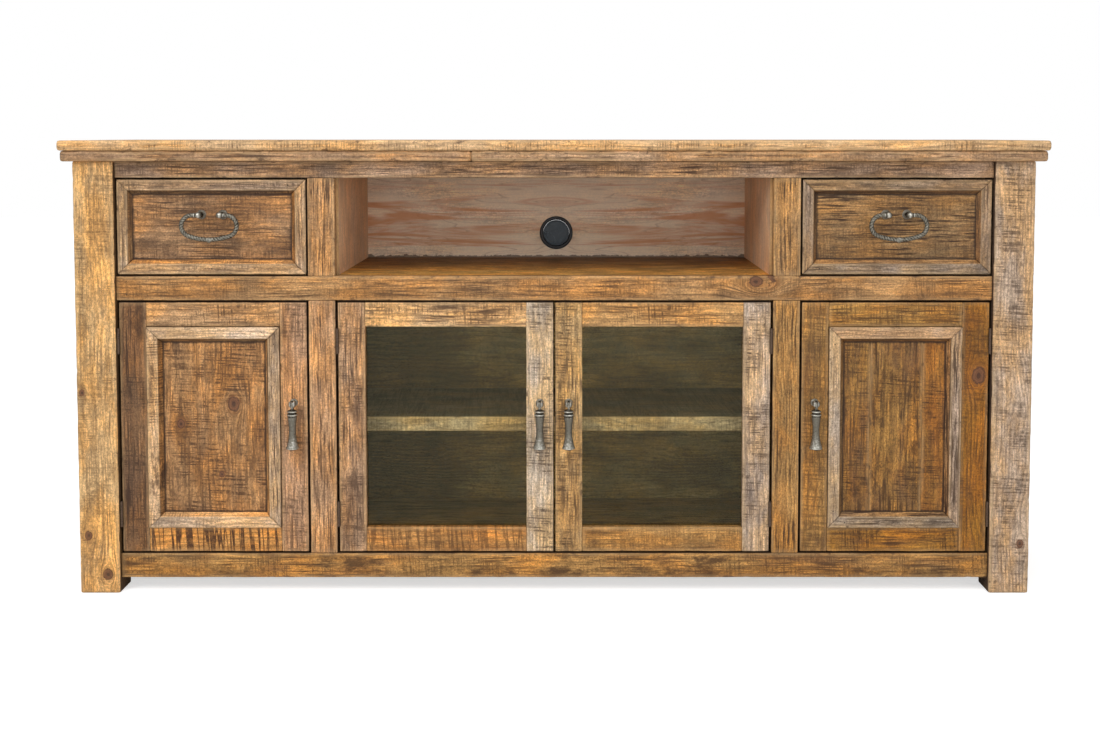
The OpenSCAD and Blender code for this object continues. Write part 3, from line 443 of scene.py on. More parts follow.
class Shape:
    """Points, faces and the values on the points of one piece, gathered from lofts."""

    def __init__(self):
        self.points, self.faces, self.values, self.count = [], [], {}, 0

    def gather(self, rings, values, capped):
        """Joins each ring to the next, and caps both ends or joins the last ring to the first."""
        stations, sides = rings.shape[:2]
        points = rings.reshape(-1, 3)
        here = np.arange(sides)
        after = np.roll(here, -1)
        row = (np.arange(stations) * sides)[:, None]
        next_row = np.roll(row, -1, 0)
        caps = []
        if capped:
            caps = [here[::-1], here + (stations - 1) * sides]
            row, next_row = row[:-1], next_row[:-1]
        quads = np.stack([row + here, row + after, next_row + after, next_row + here], -1).reshape(-1, 4)
        a, b, c, d = (points[quads[:, k]] for k in range(4))
        volume = (a * np.cross(b, c)).sum() + (a * np.cross(c, d)).sum()
        for cap in caps:
            p = points[cap]
            volume += (p[:1] * np.cross(p[1:-1], p[2:])).sum()
        if volume < 0:
            quads, caps = quads[:, ::-1], [cap[::-1] for cap in caps]
        self.faces += (quads + self.count).tolist() + [(cap + self.count).tolist() for cap in caps]
        self.points.append(points)
        for name, value in values.items():
            self.values.setdefault(name, []).append(value.reshape(len(points), -1))
        self.count += len(points)

    def loft(self, rings, values, inset=1.5 * MM):
        """Closed rings joined one to the next, with a flat cap on each end. Values go with the rings."""
        ends = []
        for ring in (rings[0], rings[-1]):
            centre = ring.mean(0)
            reach = np.linalg.norm(ring - centre, axis=1, keepdims=True).clip(1e-6)
            ends.append((ring + (centre - ring) * np.minimum(inset / reach, 0.5))[None])
        full = {}
        for name, value in values.items():
            width = np.shape(value)[-1] if np.ndim(value) else 1
            value = np.broadcast_to(np.asarray(value, float), (*rings.shape[:2], width))
            full[name] = np.concatenate([value[:1], value, value[-1:]])
        self.gather(np.concatenate([ends[0], rings, ends[1]]), full, True)

    def lathe(self, centre, axis, profile, sides=40, ring=False):
        """A form turned about a line. Rows are distance, radius and wear, and go all round for a ring."""
        along, radius, high = np.array(profile, float).T
        angle = np.linspace(0, math.tau, sides, endpoint=False)
        rings = np.empty((len(along), sides, 3))
        rings[..., axis] = along[:, None]
        rings[..., (axis + 1) % 3] = radius[:, None] * np.cos(angle)
        rings[..., (axis + 2) % 3] = radius[:, None] * np.sin(angle)
        rings = np.array(centre) + rings * MM
        if ring:
            high = np.broadcast_to(high[None, :, None], (sides, len(along), 1))
            self.gather(rings.swapaxes(0, 1), {"high": high}, False)
        else:
            self.loft(rings, {"high": high[:, None, None]}, 1.0 * MM)

    def mesh(self, name):
        made = bpy.data.meshes.new(name)
        made.from_pydata(np.concatenate(self.points).tolist(), [], self.faces)
        for key, value in self.values.items():
            value = np.concatenate(value)
            kind, field = ATTRIBUTE_KINDS[value.shape[1]]
            made.attributes.new(key, kind, "POINT").data.foreach_set(field, value.ravel())
        made.shade_smooth()
        made.update()
        return made


def new_object(name, data):
    made = bpy.data.objects.new(name, data)
    bpy.context.scene.collection.objects.link(made)
    return made


def add_piece(mesh, material, slot, body, *replaced):
    """A piece that rides on a body and takes the place of CAD nodes."""
    piece = new_object(mesh.name, mesh)
    mesh.materials.clear()
    mesh.materials.append(material)
    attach(piece, body)
    if replaced:
        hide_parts(*replaced)
    return piece


def box(node):
    """The two corners of a CAD node's box and the point halfway between them."""
    low, high = np.array(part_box(node))
    return low, high, (low + high) / 2


# How many waves are in a wobble, and how much longer each is than the one before
WAVES = 4
WAVE_GROWTH = 1.7


def wobble(rng, along, wave, depth):
    """A smooth random curve along a board: wave is its shortest wavelength, depth how far it swings."""
    curve = np.zeros(np.shape(along))
    for k in range(WAVES):
        curve = curve + np.sin(along * math.tau / (wave * WAVE_GROWTH**k) + rng.uniform(0, math.tau))
    return curve / WAVES * depth


# Boards

Look = namedtuple("Look", "tone saw streak stain knots", defaults=((170, 127, 84), 0.8, 0.7, 0.5, ()))
LEGS = (LEG_PINE, "pine_leg")
FRAME = (FRAME_PINE, "pine_frame")
TOP = (TOP_PINE, "pine_top")
PANELS = (PANEL_PINE, "pine_panel")


def spread(length, cell, arris=(2.5 * MM, 7.0 * MM)):
    """Where the points lie along one side of a board's section, as shares of its length."""
    if length < 3 * arris[1]:
        return np.array([0.33, 0.67])
    inner = np.linspace(arris[1], length - arris[1], max(2, round((length - 2 * arris[1]) / cell) + 1))
    return np.concatenate([[arris[0]], inner, [length - arris[0]]]) / length


# Round a knot, distances along the grain count for less. The second number is for the knot's own outline.
BEND_LENGTH, OUTLINE_LENGTH = 0.62, 0.8
# In a knot's radii: how near its middle the grain goes on bending, and how strongly it bends
BEND_START, BEND_REACH = 0.8, 1.25


def place_values(along, across, through, look, offset):
    """The place of each point in the log, with the grain bent round the knots, and the nearest knot."""
    bent = np.array(across)
    knot = np.full((*np.shape(across), 3), NO_KNOT)
    for knot_along, knot_across, radius in look.knots:
        da = (along - knot_along * MM) * BEND_LENGTH
        dc = across - knot_across * MM
        near = np.maximum(da**2 + dc**2, (BEND_START * radius * MM) ** 2)
        bent = bent - dc * (BEND_REACH * radius * MM) ** 2 / near
        local = np.stack([da / OUTLINE_LENGTH, dc, np.zeros_like(dc)], -1) / (radius * MM)
        close = np.linalg.norm(local, axis=-1) < 2.0
        knot[close] = local[close]
    place = np.stack([along + offset[0], bent + offset[1], through + offset[2]], -1)
    return place, knot


def look_values(place, knot, arris, grime, look):
    """What a board's points carry for its material."""
    return {
        "place": place, "knot": knot, "arris": arris[..., None], "grime": grime[..., None],
        "tone": np.array(rgba(*look.tone)), "finish": np.array([look.saw, look.streak, look.stain]),
    }


# How far painted shade reaches in from the gap round a frame and glaze from a board's end, and how far dirt
# reaches up a leg's foot
SHADE_AND_DIRT_REACH = (2.2 * MM, 1.0 * MM)
FOOT_GRIME = 14 * MM
# How an arris wavers, and how it is dented: the wavelength, and the depth as a share of its radius
WAVER = (0.03, 0.55)
DENTS = (0.013, 2.4)
DENT_FROM = 1.25
# How far wear reaches in from an arris, and how far a board's faces bow over which length
WEAR_REACH = 7 * MM
BOW = 0.10 * MM
BOW_WAVE = 0.09


def arris_radii(rng, along, radii, largest):
    """The radius of each of a board's four arrises all along it, wavering and with dents."""
    made = np.stack([r * (1 + wobble(rng, along, *WAVER)) for r in radii], 1)
    dents = [wobble(rng, along, DENTS[0], DENTS[1] * r) - r * DENT_FROM for r in radii]
    return np.clip(made + np.maximum(0, np.stack(dents, 1)), 0.3 * radii, largest)


def rounded_section(half, radius, cell):
    """A board's section all along it, and how worn each of its points is by being near an arris."""
    corners = []
    for k, sign in enumerate([(1, -1), (1, 1), (-1, 1), (-1, -1)]):
        angle = np.radians([0, 30, 60, 90]) + math.radians(90 * (k - 1))
        centre = np.array(sign) * (half - radius[:, k, None])
        turned = np.stack([np.cos(angle), np.sin(angle)], -1)
        corners.append(centre[:, None, :] + radius[:, k, None, None] * turned[None])
    section, worn = [], []
    for k in range(4):
        start, end = corners[k][:, -1:], corners[(k + 1) % 4][:, :1]
        side = 2 * half[(k + 1) % 2]
        share = spread(side, cell)
        section += [corners[k], start + (end - start) * share[None, :, None]]
        reach = np.minimum(share, 1 - share) * side
        worn += [np.ones(4), np.clip(1 - reach / WEAR_REACH, 0, 1) ** 1.5]
    section = np.concatenate(section, 1)
    return section, np.broadcast_to(np.concatenate(worn), section.shape[:2]).copy()


def add_board(shape, low, high, look, rng, radius, grain, cells, outline=None):
    """One rough-sawn board between two corners, with uneven rounded arrises and gently uneven faces."""
    size, middle = high - low, (low + high) / 2
    grain = int(np.argmax(size)) if grain is None else grain
    side_axes = [(grain + 1) % 3, (grain + 2) % 3]
    half = size[side_axes] / 2
    radii = np.minimum(np.broadcast_to(radius, 4), half.min() * 0.8)
    radius = radii.max()
    length = size[grain]
    ends = [0, radius * 0.3, radius]
    between = np.linspace(radius, length - radius, max(4, round(length / cells[0])))[1:-1]
    along = np.concatenate([ends, between, length - np.array(ends[::-1])])
    shrink = np.zeros(len(along))
    shrink[:2] = shrink[-2:][::-1] = radius * 0.6, radius * 0.15
    section, arris = rounded_section(half, arris_radii(rng, along, radii, half.min() * 0.9), cells[1])
    for end in (arris[:3], arris[-3:]):
        np.maximum(end, 0.6, out=end)
    bow = BOW + wobble(rng, along, BOW_WAVE, BOW)
    section = section * (1 - shrink[:, None, None] / half) * (1 - bow[:, None, None] / half)
    rings = np.empty((*section.shape[:2], 3))
    rings[..., grain] = low[grain] + along[:, None]
    rings[..., side_axes[0]] = middle[side_axes[0]] + section[..., 0]
    rings[..., side_axes[1]] = middle[side_axes[1]] + section[..., 1]
    wide, thin = side_axes if half[0] > half[1] else side_axes[::-1]
    offset = (rng.uniform(-5, 5), rng.uniform(-0.03, 0.03) - middle[wide], -middle[thin])
    place, knot = place_values(rings[..., grain], rings[..., wide], rings[..., thin], look, offset)
    grime = np.zeros(arris.shape)
    # painted shade along the gap round a frame, and glaze at the board's ends
    if outline is not None:
        from_gap = np.minimum(rings - outline[0], outline[1] - rings)[..., [0, 2]].min(-1)
        from_end = length / 2 - np.abs(rings[..., grain] - middle[grain])
        grime = np.maximum(1 - from_gap / SHADE_AND_DIRT_REACH[0], 0.55 - from_end / SHADE_AND_DIRT_REACH[1]).clip(0, 1)
    shape.loft(rings, look_values(place, knot, arris, grime, look))


def solid_boxes(node):
    """The boxes of a CAD node's separate solids, from left to right and then upwards."""
    tree = bmesh.new()
    tree.from_mesh(frame["nodes"][node].data)
    bmesh.ops.remove_doubles(tree, verts=tree.verts, dist=0.01 * MM)
    left = set(tree.verts)
    boxes = []
    while left:
        waiting = [left.pop()]
        found = []
        while waiting:
            point = waiting.pop()
            found.append(point.co[:])
            for edge in point.link_edges:
                other = edge.other_vert(point)
                if other in left:
                    left.remove(other)
                    waiting.append(other)
        boxes.append((np.min(found, 0), np.max(found, 0)))
    tree.free()
    return sorted(boxes, key=lambda ends: tuple(round(ends[0][axis], 3) for axis in (0, 2, 1)))


def add_boards(node, looks, wood, seed, radius=2.0, grain=None, cells=(9, 9), gap_shade_and_glaze=False):
    """A worn board in place of each solid of a node, with one look for each. Sizes are in millimetres."""
    rng = np.random.default_rng(seed)
    shape = Shape()
    outline = np.array(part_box(node)) if gap_shade_and_glaze else None
    cells = np.array(cells) * MM
    for k, (low, high) in enumerate(solid_boxes(node)):
        add_board(shape, low, high, looks[k % len(looks)], rng, radius * MM, grain, cells, outline)
    return add_piece(shape.mesh(node + "_boards"), *wood, BODY_OF[node], node)


def point_places(mesh):
    places = np.empty(len(mesh.vertices) * 3)
    mesh.vertices.foreach_get("co", places)
    return places.reshape(-1, 3)


def set_shade_and_dirt(piece, shade_and_dirt_of):
    """Gives a board's points the larger of the painted shade and dirt they have and that which a function
    finds for them.
    """
    places = point_places(piece.data)
    grime = np.empty(len(places))
    data = piece.data.attributes["grime"].data
    data.foreach_get("value", grime)
    data.foreach_set("value", np.maximum(grime, shade_and_dirt_of(places)))


# Looks are listed from left to right and then upwards, as the boards are.
# A knot is its place along the board and across it, and its radius, in millimetres.
front_legs = add_boards("front_legs", [
    Look((214, 170, 112), 0.55, 0.5, 0.42, ((116, -925, 7), (402, -932, 5), (38, -888, 9))),
    Look((192, 163, 133), 0.8, 0.4, 0.35, ((100, 925, 6),)),
], LEGS, 11, 3.2, cells=(8, 6))
LEG_INNER = solid_boxes("front_legs")[1][0][0]
add_boards("rear_legs", [Look((176, 134, 92)), Look((168, 130, 94))], LEGS, 12, 3.0)
add_boards("top_rail", [Look((172, 138, 106), 0.6, 1.0, 0.6)], FRAME, 13, gap_shade_and_glaze=True)
middle_rail = add_boards("middle_rail", [
    Look((178, 132, 80), 0.55, 0.8, 0.35, ((412, 628, 17), (398, 622, 10))),
], FRAME, 14, 2.2, cells=(6, 6))
bottom_rail = add_boards("bottom_rail", [Look((181, 133, 70), 0.7, 0.9, 0.9)], FRAME, 15, 2.2)
frame_uprights = add_boards("frame_uprights", [
    Look((196, 150, 106), 0.3, 0.9, 0.3),
    Look((184, 140, 94), 0.3, 1.0, 0.45),
    Look((174, 128, 69), 0.25, 1.1, 0.35),
    Look((174, 135, 88), 0.3, 1.0, 0.4),
], FRAME, 16)
add_boards("side_rails", [Look((168, 126, 82))] * 4, FRAME, 17)


def facing_gaps(low, high, cubby):
    """Finds painted shade for a rail: at its lower edge, and at its upper one outside the cubby."""
    def shade_and_dirt_of(places):
        below = 1 - (places[:, 2] - low) / SHADE_AND_DIRT_REACH[0]
        above = np.where(np.abs(places[:, 0]) > cubby, 1 - (high - places[:, 2]) / SHADE_AND_DIRT_REACH[0], 0)
        return np.maximum(below, above).clip(0, 1)
    return shade_and_dirt_of


def beside_gaps(places):
    """Finds painted shade for the uprights: at both edges, but at the cubby only at the outer one."""
    grime = np.zeros(len(places))
    for low, high in solid_boxes("frame_uprights"):
        inside = (places[:, 0] > low[0] - MM) & (places[:, 0] < high[0] + MM)
        inside &= (places[:, 2] > low[2] - MM) & (places[:, 2] < high[2] + MM)
        edge = np.minimum(places[:, 0] - low[0], high[0] - places[:, 0])
        if low[2] > rail_high[2] - MM:
            edge = max(abs(low[0]), abs(high[0])) - np.abs(places[:, 0])
        grime = np.where(inside, (1 - edge / SHADE_AND_DIRT_REACH[0]).clip(0, 1), grime)
    return grime


def leg_shade_and_dirt(places):
    """Finds painted shade for the front legs all over their inner faces, and a little dirt at their feet."""
    inner = (np.abs(places[:, 0]) < LEG_INNER + 0.4 * MM) * 1.0
    return np.maximum(inner, (0.55 - places[:, 2] / FOOT_GRIME).clip(0, 1))


rail_low, rail_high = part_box("middle_rail")
set_shade_and_dirt(middle_rail, facing_gaps(rail_low[2], rail_high[2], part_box("cubby_sides")[1][0] + 30 * MM))
set_shade_and_dirt(bottom_rail, facing_gaps(-1.0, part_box("bottom_rail")[1][2], 0.0))
set_shade_and_dirt(frame_uprights, beside_gaps)
set_shade_and_dirt(front_legs, leg_shade_and_dirt)
add_boards("side_panels", [Look((172, 130, 86), 0.6, 0.7, 0.4)] * 2, PANELS, 18, 0.6, 2)
add_boards("top_edge_strips", [
    Look((176, 136, 97), 0.3, 0.9, 0.35),
    Look((178, 140, 102), 0.4, 0.9, 0.35),
    Look((174, 134, 96), 0.4, 0.9, 0.35),
], TOP, 19, 5.0, cells=(9, 12))


def darken_behind_edge(piece, share):
    """Leaves a board's front edge pale and paints shade on its faces, which come out darker."""
    depth = point_places(piece.data)[:, 1]
    tones = np.empty(len(depth) * 4)
    data = piece.data.attributes["tone"].data
    data.foreach_get("color", tones)
    tones = tones.reshape(-1, 4)
    tones[depth > depth.min() + 2.5 * MM, :3] *= share
    data.foreach_set("color", tones.ravel())


SHELF_LOOK = Look((189, 168, 138), 1.3, 0.4, 0.25)
# painted shade on the shelf's faces behind its pale front edge
darken_behind_edge(add_boards("center_shelf", [SHELF_LOOK], (PANEL_PINE, "pine_inside"), 20), 0.45)

# The top's four planks from front to back, rounded only where they are the top's own edge
TOP_TONES = [(212, 170, 120), (206, 160, 108), (214, 168, 116), (198, 156, 108)]
EDGE_R = 5.5 * MM
SEAM_R = 1.0 * MM


def add_top():
    rng = np.random.default_rng(21)
    shape = Shape()
    planks = sorted(solid_boxes("top_panel"), key=lambda ends: ends[0][1])
    for k, (low, high) in enumerate(planks):
        look = Look(TOP_TONES[k % len(TOP_TONES)], 0.8, 0.6, 0.22)
        front = EDGE_R if k == 0 else SEAM_R
        back = EDGE_R if k == len(planks) - 1 else SEAM_R
        add_board(shape, low, high, look, rng, (back, back, front, front), 0, (9 * MM, 14 * MM))
    add_piece(shape.mesh("top_planks"), *TOP, "cabinet", "top_panel")


add_top()

# Door frames: left stile, lower rail, upper rail, right stile
DOOR_LOOKS = {
    "door_left": [
        Look((131, 94, 59), 1.1, 0.9, 0.8), Look((212, 150, 78), 1.8, 0.3, 0.3),
        Look((195, 150, 101), 1.0, 0.7, 0.5), Look((187, 142, 102), 0.8, 0.7, 0.3),
    ],
    "glass_door_left": [
        Look((184, 144, 106), 1.1, 0.9, 0.8), Look((188, 132, 68), 1.5, 0.5, 0.4),
        Look((214, 172, 121), 0.8, 1.0, 0.5), Look((204, 181, 152), 1.0, 0.4, 0.4),
    ],
    "glass_door_right": [
        Look((197, 159, 105), 1.0, 0.9, 0.6), Look((191, 143, 79), 1.3, 0.7, 0.5),
        Look((196, 147, 87), 1.0, 0.8, 0.5), Look((191, 167, 143), 0.9, 0.6, 0.35),
    ],
    "door_right": [
        Look((168, 121, 59), 1.4, 0.7, 0.6), Look((163, 111, 36), 0.9, 0.9, 0.6),
        Look((185, 134, 62), 0.7, 0.9, 0.6), Look((151, 99, 26), 1.2, 0.7, 0.5, ((435, 840, 13),)),
    ],
}
for seed, (door, looks) in enumerate(DOOR_LOOKS.items(), 30):
    add_boards(door + "_frame", looks, FRAME, seed, 1.8, cells=(7, 7), gap_shade_and_glaze=True)

# Door panels: one board on the left, three on the right
door_left_panel = add_boards("door_left_panel", [
    Look((183, 134, 82), 0.9, 0.7, 0.6, ((377, -636, 11), (337, -742, 7), (376, -569, 4), (236, -662, 5))),
], PANELS, 41, 0.8, 2, (4, 4))
door_right_panel = add_boards("door_right_panel", [
    Look((149, 105, 46), 1.0, 0.8, 0.8), Look((155, 110, 50), 1.0, 0.9, 0.9),
    Look((151, 100, 38), 0.9, 0.5, 0.6),
], PANELS, 42, 0.8, 2, (4, 4), True)
FRONT_LOOKS = [Look((168, 126, 84), 1.2, 0.9, 0.6), Look((152, 116, 72), 0.5, 1.3, 0.4)]
drawer_left_front = add_boards("drawer_left_front", FRONT_LOOKS[:1], PANELS, 43, cells=(6, 4))
drawer_right_front = add_boards("drawer_right_front", FRONT_LOOKS[1:], PANELS, 44, cells=(6, 4))


# Mouldings

# How the slope of a moulding is more golden than its rubbed flat, and the painted light and shade on each
# strip's slope:
# lower, right, upper, left; painted light on the lower slope, painted shade on the other three
SLOPE_TINT = np.array([1.0, 0.76, 0.46, 1.0])
SLOPE_PAINTED_LIGHT = (1.25, 0.70, 0.34, 0.42)
# How far painted shade reaches from a moulding on to its panel
PANEL_SHADE = 6.5 * MM
# How a moulding is chipped and how it sags, each as a wavelength and a depth, and how far it sinks in
CHIPS = (0.017, 1.0 * MM)
SAG = (0.05, 0.22 * MM)
SINK = 0.25 * MM
MITRE_GAP = 0.25 * MM


def moulding_profile(flat, slope, height, lip):
    """A moulding's section: distance inwards, height, how worn it is there and how much painted shade it
    holds at its foot.
    """
    inner = flat + slope
    fall = (height - lip) / slope
    return np.array([
        (0, 0, 0, 1), (0, height * 0.4, 0.2, 1), (0, height - 2.2, 0.6, 0.7),
        (0.4, height - 0.9, 0.9, 0.25), (1.1, height - 0.25, 1, 0), (2.6, height, 0.9, 0),
        (5.5, height, 0.3, 0), (flat * 0.5, height - 0.1, 0, 0), (flat - 5, height, 0.2, 0),
        (flat - 1.4, height, 0.7, 0), (flat - 0.1, height - 0.25, 1, 0),
        (flat + 0.3, height - 0.3 * fall - 0.25, 0.2, 0),
        (flat + slope * 0.4, height - slope * 0.4 * fall, 0, 0),
        (flat + slope * 0.86, height - slope * 0.86 * fall, 0, 0.1), (inner - 0.1, lip + 0.1, 0, 0.8),
        (inner, lip * 0.4, 0, 1), (inner, 0, 0, 1),
    ])


def add_moulding(node, flat, profile, looks, seed, panel):
    """Four mitred strips round a panel: lower, right, upper, left. The flat is its width in millimetres."""
    low, high, middle = box(node)
    rng = np.random.default_rng(seed)
    shape = Shape()
    inwards, height = profile[:, 0] * MM, profile[:, 1] * MM
    mark, crease_shade = profile[:, 2], profile[:, 3]
    for turn, look in enumerate(looks):
        level = turn % 2 == 0
        full = (high[0] - low[0]) if level else (high[2] - low[2])
        reach = (high[2] - low[2]) / 2 if level else (high[0] - low[0]) / 2
        share = np.linspace(0, 1, max(8, round(full / (6 * MM))))[:, None]
        along = (share - 0.5) * (full - 2 * inwards - MITRE_GAP)
        chipped = 0.5 * (np.maximum(0, wobble(rng, along, *CHIPS)) * mark)
        raised = height > 1 * MM
        rise = height + (wobble(rng, along, *SAG) * raised - SINK * raised) - chipped
        across = reach - inwards + 0 * along - chipped * (inwards < 4 * MM)
        side = 1 if turn in (1, 2) else -1
        rings = np.empty((*across.shape, 3))
        rings[..., 0] = middle[0] + (along if level else side * across)
        rings[..., 2] = middle[2] + (side * across if level else along)
        rings[..., 1] = high[1] - rise
        offset = (rng.uniform(-5, 5), rng.uniform(-0.03, 0.03), 0)
        place, knot = place_values(along, across, rise, look, offset)
        from_mitre = (full / 2 - inwards) - np.abs(along)
        # painted shade at the moulding's foot, and glaze at its mitres
        grime = np.maximum(crease_shade, (1 - from_mitre / MM).clip(0, 0.5))
        values = look_values(place, knot, mark + 0 * along, grime, look)
        sloping = np.clip((inwards - flat * MM) / (0.3 * MM), 0, 1)[:, None]
        # painted light on the lower strip's slope and painted shade on the others, on top of the slope's
        # golden stain
        slope_stain_and_light = SLOPE_TINT * (*[SLOPE_PAINTED_LIGHT[turn]] * 3, 1.0)
        values["tone"] = values["tone"] * (1 + sloping * (slope_stain_and_light - 1))
        shape.loft(rings, values, 0.2 * MM)
    add_piece(shape.mesh(node + "_strips"), MOULDING_PINE, "pine_moulding", BODY_OF[node], node)
    opening = (high - low) / 2 - inwards.max()

    # painted shade on the panel along the moulding's inner edge
    def beside(places):
        reach = opening[[0, 2]] - np.abs(places - middle)[:, [0, 2]]
        return (1 - reach.min(1) / PANEL_SHADE).clip(0, 1) * (places[:, 1] < places[:, 1].mean())

    set_shade_and_dirt(panel, beside)


DOOR_FLAT = 22.5
DRAWER_FLAT = 21.0
DOOR_MOULDING = moulding_profile(DOOR_FLAT, 7.5, 11, 0.5)
DRAWER_MOULDING = moulding_profile(DRAWER_FLAT, 8, 9, 0.5)
add_moulding("door_left_moulding", DOOR_FLAT, DOOR_MOULDING, [
    Look((204, 172, 137), 0.5, 0.5, 0.5), Look((188, 159, 128), 0.3, 1.4, 0.6),
    Look((226, 195, 162), 0.3, 0.5, 0.7), Look((218, 178, 133), 1.0, 0.3, 1.0),
], 51, door_left_panel)
add_moulding("door_right_moulding", DOOR_FLAT, DOOR_MOULDING, [
    Look((158, 138, 115), 0.3, 1.2, 0.8), Look((176, 148, 121), 0.3, 1.5, 0.9),
    Look((190, 158, 129), 0.2, 0.5, 0.35), Look((190, 166, 139), 0.4, 0.6, 0.45),
], 52, door_right_panel)
add_moulding("drawer_left_moulding", DRAWER_FLAT, DRAWER_MOULDING, [
    Look((186, 153, 117), 0.6, 0.9, 0.7), Look((184, 151, 117), 0.4, 0.9, 0.6),
    Look((178, 150, 122), 0.8, 0.8, 0.8), Look((184, 155, 122), 0.5, 0.9, 0.7),
], 53, drawer_left_front)
add_moulding("drawer_right_moulding", DRAWER_FLAT, DRAWER_MOULDING, [
    Look((148, 128, 107), 0.4, 0.9, 0.6), Look((160, 134, 108), 0.3, 0.9, 0.6),
    Look((158, 130, 99), 0.3, 0.9, 0.6), Look((158, 132, 106), 0.3, 0.9, 0.6),
], 54, drawer_right_front)


# Boards inside and behind, which keep their CAD solids
INSIDE = {
    "deck_panel": ("Pine deck", (212, 158, 78), "x", (0.1, 0.8, 0.3)),
    "floor_panel": ("Pine cabinet floor", (150, 120, 68), "x", (0.2, 0.7, 0.3)),
    "rear_rails": ("Pine rear rails", (150, 112, 76), "x", (0.6, 0.6, 0.4)),
    "cubby_sides": ("Pine cubby sides", (236, 198, 160), "z", (0.05, 0.15, 0.1)),
    "partitions": ("Pine partitions", (128, 100, 68), "z", (0.2, 0.5, 0.4)),
    "side_shelves": ("Pine side shelves", (160, 126, 84), "x", (0.5, 0.6, 0.4)),
    "drawer_runners": ("Pine runners", (170, 134, 92), "y", (0.3, 0.4, 0.2)),
    "drawer_left_box": ("Pine left drawer box", (186, 150, 106), "y", (0.2, 0.4, 0.1)),
    "drawer_right_box": ("Pine right drawer box", (184, 148, 104), "y", (0.2, 0.4, 0.1)),
    "glass_door_left_beads": ("Pine left beads", (140, 106, 68), "z", (0.2, 0.5, 0.4)),
    "glass_door_right_beads": ("Pine right beads", (140, 106, 68), "z", (0.2, 0.5, 0.4)),
}


def base_color(material):
    """The inputs of a material's surface, and what its colour is so far."""
    surface = material.node_tree.nodes["Principled BSDF"].inputs
    return surface, Signal(surface["Base Color"].links[0].from_socket)


def back_material():
    """The back: pale, book-matched boards with reddish streaks above the deck, and painted shade below it,
    with pale patches painted as reflections in the glass.
    """
    material = panel_material("Pine back", (226, 200, 168), "x", (0.05, 0.2, 0.15), (2.1, -0.72, 0.03), True)
    surface, pine_color = base_color(material)
    x, y, z = parts(object_place(material.node_tree))
    from_middle = abs(x)
    place = vector(from_middle, z)
    deck_low, deck_high = (corner[2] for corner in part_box("deck_panel"))
    back_low, back_high = (corner[1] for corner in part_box("back_panels"))

    # a pale wash, thin contours of the grain, and reddish streaks: more low down, fewer just above the deck
    wash = step(noise(place, (3.0, 12.0, 1.0), 4.0, 0.6), 0.36, 0.60, 0.45, 0.85)
    contour = calc("FRACT", abs(noise(place, (1.3, 13.0, 1.0), 3.0, 0.55) - 0.5) * 26.0)
    low_down = step(z, deck_high + 0.05, deck_high + 0.16, 0.05, -0.03)
    lowest = step(z, deck_high + 0.01, deck_high + 0.045, -0.09, 0.0)
    outwards = step(from_middle, 0.05, 0.40, -0.02, 0.03)
    red = noise(place, (2.0, 30.0, 1.0), 4.0, 0.6, 0.9) + (low_down + lowest + outwards)
    color = mix(wash, pine_color, rgba(250, 230, 204))
    color = mix(step(contour, 0.72, 0.98, 0.0, 0.32), color, rgba(156, 116, 84))
    color = mix(step(red, 0.50, 0.66) * 0.8, color, rgba(214, 142, 90))

    # ragged painted shade along the deck, on the front face alone
    rear = step(y, back_low + 2 * MM, back_high - 2 * MM)
    ragged = noise(place, (60.0, 60.0, 1.0), 3.0, 0.7)
    edge = ragged * (-16 * MM) + (z - (deck_high - 4 * MM))
    crease_shade = step(edge, 1 * MM, -1 * MM, 0.0, 0.75) * (1.0 - rear)
    color = mix(crease_shade, color, GLAZE_AND_SHADE)

    # darker below the deck as painted shade, with pale patches in the middle and on the right as painted
    # reflections of the glass
    pale = step(noise(place, (3.5, 11.0, 1.0), 3.0, 0.6), 0.36, 0.58, 0.25, 1.0) * step(x, -0.28, -0.14)
    below_tone = mix(rear, mix(pale, rgba(104, 92, 56), rgba(174, 170, 138)), rgba(176, 158, 128))
    color = mix(step(z, deck_high, deck_low), color, tinted(pine_color, below_tone))
    feed(surface, {"Base Color": color})
    return material


def dress(node, material):
    """A new material on a CAD node that stays as it is."""
    mesh = frame["nodes"][node].data
    mesh.materials.clear()
    mesh.materials.append(material)


def darken(material, bright, dark, share, plain=0.0, tone=(0, 0, 0)):
    """Makes a panel's colour plainer, and darker from one depth to another."""
    surface, color = base_color(material)
    color = mix(plain, color, rgba(*tone))
    depth = step(parts(object_place(material.node_tree))[1], bright, dark)
    level = mix(depth, (1, 1, 1, 1), (share, share * 0.9, share * 0.62, 1))
    feed(surface, {"Base Color": tinted(color, level)})


inside = {}
for node, (name, tone, grain, finish) in INSIDE.items():
    inside[node] = panel_material(name, tone, grain, finish, (0.3 * len(node), 0.01, 0.02))
    dress(node, inside[node])
deck_front, deck_back = (corner[1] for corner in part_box("deck_panel"))
side_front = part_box("cubby_sides")[0][1]
# painted shade: the deck is darker towards the back
darken(inside["deck_panel"], deck_front, deck_back, 0.28)
darken(inside["cubby_sides"], side_front + 2 * MM, side_front + 0.5 * MM, 0.6, 0.6, (224, 184, 150))
dress("back_panels", back_material())
for node in frame["nodes"]:
    if node.endswith(("_hardware", "_leaves", "_catches")) or node == "hinge_pins":
        dress(node, BRONZE)
    if node.endswith("_pane"):
        dress(node, GLASS)
dress("shelf_pins", PIN_STEEL)


# Pulls

def add_cast(node, mesh):
    add_piece(mesh, PEWTER, "pewter", BODY_OF[node], node)


# Drop pulls, in millimetres from the pivot
DROP_REACH = 18.0
DROP_TONGUE_R = 4.4
DROP_TONGUE_HALF = 2.2
BALL_R = 7.3
SLOT_HALF = 2.5
SLOT_BACK = 5.4


